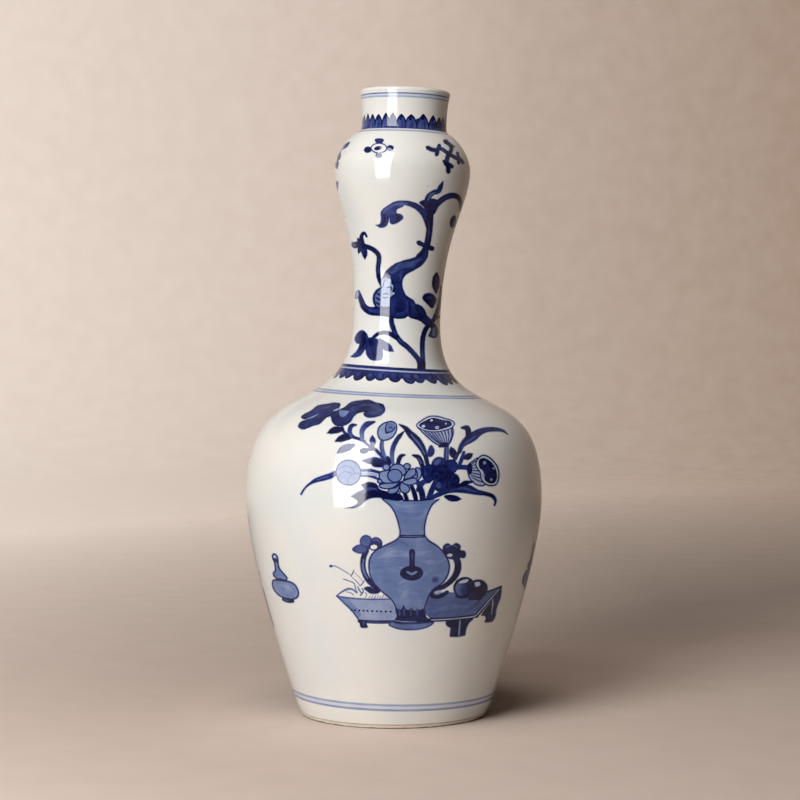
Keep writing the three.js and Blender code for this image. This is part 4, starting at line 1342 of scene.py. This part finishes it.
def foot_profile(wall, glaze):
    """The base: glazed recess, bare contact ring, glazed heel, and the floor inside."""
    v = wall.shape
    proud = glaze.thickness
    high = wall.base_joint
    floor = wall.floor + proud
    soft = glaze.edge_round
    ring_inside = v.foot_radius - v.foot_ring_width
    recess_edge = ring_inside - 2 * v.recess_taper
    recess = v.recess_depth - proud
    inner = wall.stretch("inside", high - wall.joint_back, high, proud)[0][-1]
    bare = wall.stretch("outside", soft, glaze.bare_height - proud, 0)[0]
    fillet = bezier(
        inner,
        (inner[0] - v.heel_flare * v.floor_fillet, floor + 2 * proud),
        (inner[0] - v.floor_fillet / 2, floor),
        (inner[0] - v.floor_fillet, floor),
    )
    underside = bezier(
        (recess_edge, recess),
        (ring_inside - 1.4 * v.recess_taper, recess),
        (ring_inside - v.recess_taper / 2, v.recess_depth / 2),
        (ring_inside, soft),
    )
    inner_edge = arc((ring_inside + soft, soft), soft, math.pi, 1.5 * math.pi)
    outer_edge = arc((v.foot_radius - soft, soft), soft, -0.5 * math.pi, 0)
    contact = np.vstack([inner_edge, outer_edge])
    under_floor = np.linspace((0, recess), (recess_edge, recess), SHORT_POINTS)
    inside_floor = np.linspace(fillet[-1], (0, floor), SHORT_POINTS)
    profile = Profile()
    profile.add(under_floor, HIDDEN_SPACING, COLUMNS)
    profile.add(underside[1:], PAINTED_SPACING, COLUMNS)
    profile.add(contact[1:], PAINTED_SPACING, COLUMNS)
    profile.add(bare[1:], PAINTED_SPACING / 3, COLUMNS)
    profile.add_outside(wall, glaze.bare_height, high, proud, PAINTED_SPACING / 2)
    profile.add(joint_edge(wall, high, False), HIDDEN_SPACING, COLUMNS)
    profile.add(fillet, HIDDEN_SPACING, COLUMNS)
    profile.add(inside_floor[1:], HIDDEN_SPACING, COLUMNS)
    profile.close()
    return profile


def clipped(outline, axis, limit, keep_above):
    """A closed outline cut at one value of turn or height."""
    sign = 1 if keep_above else -1
    inside = sign * (outline[:, axis] - limit) >= 0
    if inside.all():
        return outline
    kept = []
    for i in range(len(outline)):
        here, before = outline[i], outline[i - 1]
        if inside[i] != inside[i - 1]:
            t = (limit - before[axis]) / (here[axis] - before[axis])
            cut = before + t * (here - before)
            cut[axis] = limit
            kept.append(cut)
        if inside[i]:
            kept.append(here)
    return np.array(kept).reshape(-1, 2)


def shapes_on(painting, low, high):
    """The painting's shapes between two heights, cut to one turn from the seam."""
    end = SEAM + 2 * math.pi
    found = []
    for outline, tones, ends in painting.bleeds + painting.shapes:
        if outline[:, 1].max() <= low or outline[:, 1].min() >= high:
            continue
        for whole in (-1, 0, 1):
            shift = np.array([2 * math.pi * whole, 0])
            cut = outline + shift
            for axis, limit, above in ((0, SEAM, True), (0, end, False), (1, low, True), (1, high, False)):
                cut = clipped(cut, axis, limit, above) if len(cut) else cut
            if len(cut) > 2:
                found.append((cut, tones, ends + shift))
    return found


def within(places, outline):
    """Which places lie inside a closed outline, by its winding round them."""
    low, high = outline.min(0), outline.max(0)
    near = np.flatnonzero(((places >= low) & (places <= high)).all(1))
    after = np.roll(outline, -1, axis=0)
    x, y = places[near, 0, None], places[near, 1, None]
    (ax, ay), (bx, by) = outline.T, after.T
    left = (bx - ax) * (y - ay) - (x - ax) * (by - ay)
    winding = ((ay <= y) & (by > y) & (left > 0)).sum(1) - ((ay > y) & (by <= y) & (left < 0)).sum(1)
    return near[winding != 0]


def make_section(name, wall, profile, painting, materials, bare=None):
    """Builds a section's mesh: its painted outside and the rest of its surface in one closed skin."""
    start, end = profile.painted
    heights, along = profile.heights
    scale = float(np.mean(np.interp(along, profile.lengths, profile.points[:, 0])))
    places, edges = [], []

    def add_points(points, looped):
        first = len(places)
        places.extend(map(tuple, points))
        last = len(places)
        edges.extend((i, i + 1) for i in range(first, last - 1))
        if looped:
            edges.append((last - 1, first))

    for row, columns in profile.rows:
        turns = SEAM + np.arange(columns + 1) * 2 * math.pi / columns
        line = np.column_stack([turns * scale, np.full(columns + 1, row)])
        if row in (start, end):
            add_points(line, False)
        else:
            places.extend(map(tuple, line))
    half = SEAM + math.pi
    add_points([(half * scale, row) for row, _ in profile.rows if start <= row <= end], False)
    shapes = []
    for outline, tones, ends in shapes_on(painting, heights[0], heights[-1]):
        chart = np.column_stack([outline[:, 0] * scale, np.interp(outline[:, 1], heights, along)])
        ends = np.column_stack([ends[:, 0] * scale, np.interp(ends[:, 1], heights, along)])
        add_points(chart, True)
        shapes.append((chart, tones, ends))
    found, _, faces, *_ = delaunay_2d_cdt([Vector(p) for p in places], edges, [], 0, CHART_SNAP, False)
    chart = np.array([tuple(p) for p in found])
    faces = np.array([face for face in faces if len(face) == 3])

    tones = np.zeros((len(faces), 3))
    corners = chart[faces]
    centres = corners.mean(1)
    for outline, (begin, finish), ends in shapes:
        inside = within(centres, outline)
        run = ends[1] - ends[0]
        t = np.clip((corners[inside] - ends[0]) @ run / max(run @ run, TINY), 0, 1)
        tones[inside] = begin + (finish - begin) * t
    strongest = np.zeros(len(chart))
    np.maximum.at(strongest, faces, tones)
    bled = tones[:, 0] < 0
    tones[bled] = BLEED_SHARE * strongest[faces[bled]]
    painted = (centres[:, 1] > start) & (centres[:, 1] < end)
    tones[~painted] = 0

    profile_points, profile_normals = profile.read(chart[:, 1])
    turn = chart[:, 0] / scale
    spots = wall.place(profile_points[:, 0], profile_points[:, 1], turn)
    normals = wall.direct(profile_normals, profile_points[:, 1], turn)
    keys = np.round(spots / WELD).astype(np.int64)
    _, first, welded = np.unique(keys, axis=0, return_index=True, return_inverse=True)
    welded = welded.reshape(-1)
    whole = welded[faces]
    good = (whole[:, 0] != whole[:, 1]) & (whole[:, 1] != whole[:, 2]) & (whole[:, 2] != whole[:, 0])

    mesh = bpy.data.meshes.new(name)
    mesh.from_pydata(spots[first].tolist(), [], whole[good].tolist())
    mesh.polygons.foreach_set("use_smooth", np.ones(len(mesh.polygons), bool))
    cobalt = mesh.attributes.new("cobalt", "FLOAT", "CORNER")
    cobalt.data.foreach_set("value", tones[good].astype(np.float32).ravel())
    lay_out_map(mesh, corners[good], centres[good], painted[good], profile, half * scale, scale)
    for material in materials:
        mesh.materials.append(material)
    if bare is not None:
        band = (centres[good][:, 1] > bare[0]) & (centres[good][:, 1] < bare[1])
        mesh.polygons.foreach_set("material_index", band.astype(np.int32))
    mesh.update()
    mesh.normals_split_custom_set_from_vertices(normals[first].tolist())
    piece = bpy.data.objects.new(name, mesh)
    bpy.context.scene.collection.objects.link(piece)
    return piece


def lay_out_map(mesh, corners, centres, painted, profile, half, scale):
    """A flat map of the section: its painted front and back one above the other, the rest on top."""
    start, end = profile.painted
    across = corners[:, :, 0]
    back = centres[:, 0] > half
    u = (across - np.where(back, half, SEAM * scale)[:, None]) / (math.pi * scale)
    rise = (corners[:, :, 1] - start) / (end - start)
    v = np.where(back[:, None], MAP_BACK, MAP_MARGIN) + MAP_TALL * rise
    rest_u = (across - SEAM * scale) / (2 * math.pi * scale)
    rest_v = MAP_REST + MAP_REST_TALL * corners[:, :, 1] / profile.length
    u = np.where(painted[:, None], u, rest_u)
    v = np.where(painted[:, None], v, rest_v)
    places = np.stack([MAP_MARGIN + MAP_WIDE * u, v], axis=2)
    layer = mesh.uv_layers.new(name="OFBake")
    layer.data.foreach_set("uv", places.astype(np.float32).ravel())


# Materials


class Nodes:
    """Short ways to add nodes to a material."""

    def __init__(self, name):
        self.material = bpy.data.materials.new(name)
        self.material.use_nodes = True
        self.tree = self.material.node_tree
        self.shader = self.tree.nodes["Principled BSDF"]
        self.place = self.add("ShaderNodeTexCoord").outputs["Object"]

    def add(self, kind, **settings):
        """A node with its settings."""
        node = self.tree.nodes.new(kind)
        for key, value in settings.items():
            setattr(node, key, value)
        return node

    def feed(self, socket, value):
        """Links a socket or sets its value; a stored colour is made opaque."""
        if isinstance(value, bpy.types.NodeSocket):
            self.tree.links.new(value, socket)
        else:
            socket.default_value = (*value, 1) if isinstance(value, Color) else value

    def noise(self, scale, detail, stretch=(1, 1, 1)):
        """Noise over the piece, with its scale per metre and a stretch along each axis."""
        mapping = self.add("ShaderNodeMapping")
        self.feed(mapping.inputs["Vector"], self.place)
        mapping.inputs["Scale"].default_value = stretch
        noise = self.add("ShaderNodeTexNoise")
        self.feed(noise.inputs["Vector"], mapping.outputs["Vector"])
        noise.inputs["Scale"].default_value = scale
        noise.inputs["Detail"].default_value = detail
        return noise.outputs["Fac"]

    def patches(self, scale, detail, low, high, begin=0.3, end=0.7, stretch=(1, 1, 1)):
        """Values from low to high, as the noise goes from begin to end."""
        return self.span(self.noise(scale, detail, stretch), begin, end, low, high)

    def axes(self):
        """The place along X, Y and Z."""
        node = self.add("ShaderNodeSeparateXYZ")
        self.feed(node.inputs[0], self.place)
        return node.outputs

    def distance(self):
        """The distance from the origin."""
        node = self.add("ShaderNodeVectorMath", operation="LENGTH")
        self.feed(node.inputs[0], self.place)
        return node.outputs["Value"]

    def math(self, operation, first, second=0.0, clamp=False):
        """A sum or product of two values."""
        node = self.add("ShaderNodeMath", operation=operation, use_clamp=clamp)
        self.feed(node.inputs[0], first)
        self.feed(node.inputs[1], second)
        return node.outputs[0]

    def span(self, value, low, high, begin, finish):
        """A value moved from one span to another, and held at its ends."""
        node = self.add("ShaderNodeMapRange")
        for socket, item in zip(node.inputs, (value, low, high, begin, finish)):
            self.feed(socket, item)
        return node.outputs[0]

    def mix(self, factor, first, second):
        """A mix of two colours."""
        node = self.add("ShaderNodeMix", data_type="RGBA")
        self.feed(node.inputs["Factor"], factor)
        self.feed(node.inputs["A"], first)
        self.feed(node.inputs["B"], second)
        return node.outputs["Result"]

    def ramp(self, value, stops):
        """Colours along a value."""
        node = self.add("ShaderNodeValToRGB")
        self.feed(node.inputs[0], value)
        elements = node.color_ramp.elements
        while len(elements) < len(stops):
            elements.new(0.5)
        for element, (position, tint) in zip(elements, stops):
            element.position = position
            element.color = (*tint, 1)
        return node.outputs[0]

    def bump(self, strength, distance, height, under=None):
        """A bump, laid over another if one is given."""
        node = self.add("ShaderNodeBump")
        node.inputs["Strength"].default_value = strength
        node.inputs["Distance"].default_value = distance
        self.feed(node.inputs["Height"], height)
        if under is not None:
            self.feed(node.inputs["Normal"], under)
        return node.outputs["Normal"]

    def finish(self, looks):
        """Feeds the shader and gives the material."""
        for name, value in looks.items():
            self.feed(self.shader.inputs[name], value)
        return self.material


def painted_glaze(glaze):
    """Clear glossy glaze over white porcelain and cobalt that pools and streaks under it."""
    n = Nodes("painted_glaze")
    cobalt = n.add("ShaderNodeAttribute", attribute_name="cobalt").outputs["Fac"]
    pools = n.patches(110, 2, 0.9, 1.08)
    streaks = n.patches(90, 3, 0.94, 1.05, stretch=(1, 1, 4))
    density = n.math("MULTIPLY", cobalt, n.math("MULTIPLY", pools, streaks), clamp=True)
    tints = [
        (0.0, glaze.porcelain),
        (0.16, glaze.faint_blue),
        (0.47, glaze.wash_blue),
        (0.8, glaze.deep_blue),
        (1.0, glaze.dark_blue),
    ]
    blue = n.ramp(density, tints)
    white = n.mix(n.patches(26, 4, 0, 1, 0.35, 0.65), glaze.porcelain, glaze.porcelain_cloud)
    white = n.mix(n.patches(620, 1, 0, 0.6, 0.79, 0.83), white, glaze.speck)
    rings = n.bump(0.08, 0.3 * MM, n.noise(26, 2, (0.2, 0.2, 3)))
    waves = n.bump(0.1, 0.4 * MM, n.noise(38, 2), rings)
    looks = {
        "Base Color": n.mix(n.span(cobalt, 0, 0.1, 0, 1), white, blue),
        "Roughness": n.patches(60, 3, 0.05, 0.11),
        "Normal": n.bump(0.05, 0.03 * MM, n.noise(1100, 2), waves),
        "IOR": 1.47,
    }
    return n.finish(looks)


def bare_biscuit(glaze, ring_radius):
    """Unglazed clay of the foot ring, brown where the glaze stops, with painted shade along its lowest
    outer edge.
    """
    n = Nodes("bare_biscuit")
    ragged = n.math("ADD", n.axes()["Z"], n.math("MULTIPLY", n.noise(220, 4), 1.2 * MM))
    edge = n.span(ragged, 0.75 * glaze.bare_height, 1.1 * glaze.bare_height, 0, 0.8)
    stain = n.patches(70, 5, 0, 0.5, 0.55, 0.75)
    clay = n.mix(n.math("MAXIMUM", edge, stain), glaze.biscuit, glaze.biscuit_stain)
    # Painted shade: the ring's lowest outer edge darkens towards the contact shade colour, where the foot
    # meets the floor
    low = n.span(ragged, 0.9 * MM, 1.6 * MM, 0.92, 0)
    outer = n.span(n.distance(), ring_radius - 1.2 * MM, ring_radius - 0.5 * MM, 0, 1)
    looks = {
        "Base Color": n.mix(n.math("MULTIPLY", low, outer), clay, glaze.contact_shade),
        "Roughness": n.patches(400, 3, 0.55, 0.85),
        "Normal": n.bump(0.35, 0.15 * MM, n.noise(1500, 4)),
    }
    return n.finish(looks)


def fired_slip(glaze):
    """Fired slip in the joints."""
    n = Nodes("fired_slip")
    looks = {
        "Base Color": n.mix(n.patches(160, 4, 0, 0.5, 0.35), glaze.slip, glaze.biscuit),
        "Roughness": n.patches(500, 3, 0.6, 0.85),
        "Normal": n.bump(0.3, 0.1 * MM, n.noise(1200, 4)),
    }
    return n.finish(looks)


def sweep_paper(studio):
    """Matt mottled paper: a painted glow far out, most at the left, and a painted shadow behind at the
    right.
    """
    n = Nodes("sweep_paper")
    sheet = n.mix(n.patches(32, 8, 0, 1, 0.35, 0.65), studio.paper, studio.paper * studio.mottle)
    rays = n.add("ShaderNodeLightPath").outputs
    distance = n.distance()
    right, depth, _ = n.axes()
    unlit = n.span(distance, studio.dim_start, studio.dim_end, 0, studio.dim_share)
    unseen = n.math("SUBTRACT", 1.0, rays["Is Camera Ray"])
    # Painted shadow: the paper's colour darkens behind the vase at the right, where the vase's shadow lies
    aside = n.span(right, 0, studio.shade_side, 0, studio.shade_share)
    slant = n.math("SUBTRACT", depth, right)
    shade = n.math("MULTIPLY", aside, n.span(slant, 0, studio.shade_depth, 0, 1))
    held = n.math("MAXIMUM", n.math("MULTIPLY", unlit, unseen), shade)
    # Painted light: the far paper glows, brighter at the left and falling off to the right as if lit from
    # the left
    across = n.span(right, -studio.glow_span, studio.glow_span, 0, 1)
    nearer = n.math("MULTIPLY", n.math("SUBTRACT", 1.0, across), studio.glow_shift)
    far = n.span(n.math("ADD", distance, nearer), studio.glow_start, studio.glow_end, 0, 1)
    behind = n.span(depth, 0, studio.mirror_depth, 0, 1)
    seen = n.math("MAXIMUM", rays["Is Camera Ray"], n.math("MULTIPLY", rays["Is Glossy Ray"], behind))
    across = n.math("ADD", across, n.patches(32, 8, -0.035, 0.035), clamp=True)
    looks = {
        "Base Color": n.mix(held, sheet, (0, 0, 0, 1)),
        "Roughness": n.patches(30, 3, 0.75, 0.9),
        "Specular IOR Level": 0.2,
        "Emission Color": n.mix(across, studio.glow_left, studio.glow_right),
        "Emission Strength": n.math("MULTIPLY", far, seen),
    }
    return n.finish(looks)


# Operators


def glaze_material(context):
    """The glaze, made once and shared by all sections."""
    return bpy.data.materials.get("painted_glaze") or painted_glaze(context.scene.vase_glaze)


def whole_painting(wall):
    """All the brushwork, from the lip to the heel."""
    painting = Painting(wall)
    for paint in (paint_collar, paint_bulb, paint_neck, paint_neck_root, paint_body):
        paint(painting)
    return painting


def set_section(piece, node):
    """Puts a section in the place of its solid."""
    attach(piece, "root")
    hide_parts(node)


class VASE_OT_sections(bpy.types.Operator):
    """Throw and paint the four walls between the joints"""

    bl_idname = "vase.sections"
    bl_label = "Painted walls"

    def execute(self, context):
        wall = Wall(context.scene.vase_shape)
        glaze = context.scene.vase_glaze
        painting = whole_painting(wall)
        joints = [wall.base_joint, wall.belly, wall.shoulder_joint, wall.neck_joint, wall.collar_joint]
        nodes = ("lower_body", "upper_body", "neck", "garlic_bulb")
        for node, low, high in zip(nodes, joints, joints[1:]):
            profile = wall_profile(wall, glaze, low, high)
            piece = make_section("painted_" + node, wall, profile, painting, [glaze_material(context)])
            set_section(piece, node)
        return {"FINISHED"}


class VASE_OT_collar(bpy.types.Operator):
    """Throw and paint the collar with its lip"""

    bl_idname = "vase.collar"
    bl_label = "Painted collar"

    def execute(self, context):
        wall = Wall(context.scene.vase_shape)
        profile = collar_profile(wall, context.scene.vase_glaze)
        painting = Painting(wall)
        paint_collar(painting)
        piece = make_section("painted_mouth_collar", wall, profile, painting, [glaze_material(context)])
        set_section(piece, "mouth_collar")
        return {"FINISHED"}


class VASE_OT_foot(bpy.types.Operator):
    """Turn the foot with its bare ring and paint the lines above it"""

    bl_idname = "vase.foot"
    bl_label = "Foot and base"

    def execute(self, context):
        wall = Wall(context.scene.vase_shape)
        glaze = context.scene.vase_glaze
        profile = foot_profile(wall, glaze)
        painting = Painting(wall)
        paint_body(painting)
        materials = [glaze_material(context), bare_biscuit(glaze, wall.shape.foot_radius)]
        ring_inside = profile.lengths[np.argmax(profile.points[:, 1] < glaze.bare_height)]
        bare = (ring_inside, profile.painted[0])
        piece = make_section("glazed_foot", wall, profile, painting, materials, bare)
        set_section(piece, "foot_and_base")
        return {"FINISHED"}


class VASE_OT_joints(bpy.types.Operator):
    """Give the slip joints their fired finish"""

    bl_idname = "vase.joints"
    bl_label = "Slip joints"

    def execute(self, context):
        slip = fired_slip(context.scene.vase_glaze)
        for node in ("base_slip", "belly_slip", "shoulder_slip", "neck_slip", "collar_slip"):
            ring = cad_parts[node]
            ring.data.materials.clear()
            ring.data.materials.append(slip)
        return {"FINISHED"}


class VASE_OT_studio(bpy.types.Operator):
    """Set up the camera, the lamps and the paper sweep"""

    bl_idname = "vase.studio"
    bl_label = "Studio"

    def execute(self, context):
        studio = context.scene.vase_studio
        set_camera(context.scene, studio)
        set_lamps(context.scene, studio)
        set_sweep(context.scene, studio)
        context.scene.view_settings.view_transform = "Standard"
        return {"FINISHED"}


def aim(thing, target):
    """Turns a lamp or camera towards a point."""
    way = Vector(target) - thing.location
    thing.rotation_euler = way.to_track_quat("-Z", "Y").to_euler()


def set_camera(scene, studio):
    """The camera at the photograph's place."""
    camera = bpy.data.objects.new("camera", bpy.data.cameras.new("camera"))
    camera.data.lens = studio.lens
    camera.data.sensor_width = SENSOR_WIDTH
    camera.location = (studio.camera_side, -studio.camera_distance, studio.camera_height)
    aim(camera, (studio.camera_side, 0, studio.aim_height))
    scene.collection.objects.link(camera)
    scene.camera = camera


def around(turn, distance, height):
    """A place to the left of the front by an angle, at a distance from the axis."""
    return -distance * math.sin(turn), -distance * math.cos(turn), height


def set_lamps(scene, studio):
    """One tall softbox at the left, a screen above, and faint light from all round."""
    face = (studio.key_width, studio.key_tall)
    place = around(studio.key_turn, studio.key_distance, studio.key_height)
    add_screen(scene, studio, "softbox", place, face, studio.key_power)
    place = around(studio.key_turn, studio.key_distance + SHEEN_STEP, studio.key_height)
    power = studio.key_power * studio.sheen_share
    sheen = add_screen(scene, studio, "softbox_sheen", place, face, power)
    sheen.visible_diffuse = False
    face = (studio.top_width, studio.top_width)
    place = around(studio.top_turn, studio.top_distance, studio.top_height)
    top = add_screen(scene, studio, "top_screen", place, face, studio.top_power)
    top.data.color = studio.top_tint
    top.visible_glossy = False
    world = bpy.data.worlds.new("studio_air")
    world.use_nodes = True
    background = world.node_tree.nodes["Background"]
    background.inputs["Color"].default_value = (*studio.ambient_tint, 1)
    strength = world.node_tree.nodes.new("ShaderNodeMapRange")
    strength.inputs["To Min"].default_value = studio.ambient
    strength.inputs["To Max"].default_value = studio.ceiling
    rays = world.node_tree.nodes.new("ShaderNodeLightPath")
    world.node_tree.links.new(rays.outputs["Is Glossy Ray"], strength.inputs["Value"])
    world.node_tree.links.new(strength.outputs["Result"], background.inputs["Strength"])
    scene.world = world


def add_screen(scene, studio, name, place, face, power):
    """A flat lamp that faces the height that the camera looks at."""
    lamp = bpy.data.lights.new(name, "AREA")
    lamp.shape = "RECTANGLE"
    lamp.size, lamp.size_y = face
    lamp.energy = power
    screen = bpy.data.objects.new(name, lamp)
    screen.location = place
    aim(screen, (0, 0, studio.aim_height))
    scene.collection.objects.link(screen)
    return screen


def set_sweep(scene, studio):
    """A round paper sweep: a flat floor that bends up into a low upright all round."""
    edge = studio.sweep_radius - studio.sweep_bend
    floor = np.linspace((SWEEP_HUB, 0), (edge, 0), SWEEP_ROWS)
    bend = arc((edge, studio.sweep_bend), studio.sweep_bend, -0.5 * math.pi, 0)
    line = np.vstack([floor, bend[1:], [(studio.sweep_radius, studio.sweep_height)]])
    turns = np.arange(HIDDEN_COLUMNS * 2) * math.pi / HIDDEN_COLUMNS
    count = len(turns)
    verts = [(r * math.cos(turn), r * math.sin(turn), z) for r, z in line for turn in turns]
    faces = [tuple(range(count))]
    for row in range(len(line) - 1):
        for i in range(count):
            after = (i + 1) % count
            faces.append(tuple(row * count + k for k in (i, i + count, after + count, after)))
    mesh = bpy.data.meshes.new("paper_sweep")
    mesh.from_pydata(verts, [], faces)
    mesh.polygons.foreach_set("use_smooth", np.ones(len(faces), bool))
    mesh.materials.append(sweep_paper(studio))
    sweep = bpy.data.objects.new("paper_sweep", mesh)
    scene.collection.objects.link(sweep)


class VASE_PT_panel(bpy.types.Panel):
    """Sizes, colours and steps of the vase"""

    bl_idname = "VASE_PT_panel"
    bl_label = "Garlic-mouth vase"
    bl_space_type = "VIEW_3D"
    bl_region_type = "UI"
    bl_category = "Vase"

    def draw(self, context):
        for operator in OPERATORS:
            self.layout.operator(operator.bl_idname)
        for name in GROUPS:
            group = getattr(context.scene, name)
            box = self.layout.box()
            for key in group.__annotations__:
                box.prop(group, key)


GROUPS = {"vase_shape": VaseShape, "vase_glaze": VaseGlaze, "vase_studio": VaseStudio}
OPERATORS = (VASE_OT_studio, VASE_OT_sections, VASE_OT_collar, VASE_OT_foot, VASE_OT_joints)


def register():
    """Registers the property groups, the operators and the panel."""
    for name, group in GROUPS.items():
        bpy.utils.register_class(group)
        setattr(bpy.types.Scene, name, bpy.props.PointerProperty(type=group))
    for item in (*OPERATORS, VASE_PT_panel):
        bpy.utils.register_class(item)


def unregister():
    """Takes them away again."""
    for item in (VASE_PT_panel, *reversed(OPERATORS)):
        bpy.utils.unregister_class(item)
    for name, group in GROUPS.items():
        delattr(bpy.types.Scene, name)
        bpy.utils.unregister_class(group)


def main():
    """Builds the vase and its studio."""
    register()
    bpy.ops.vase.studio()
    bpy.ops.vase.sections()
    bpy.ops.vase.collar()
    bpy.ops.vase.foot()
    bpy.ops.vase.joints()


if __name__ == "__main__":
    main()
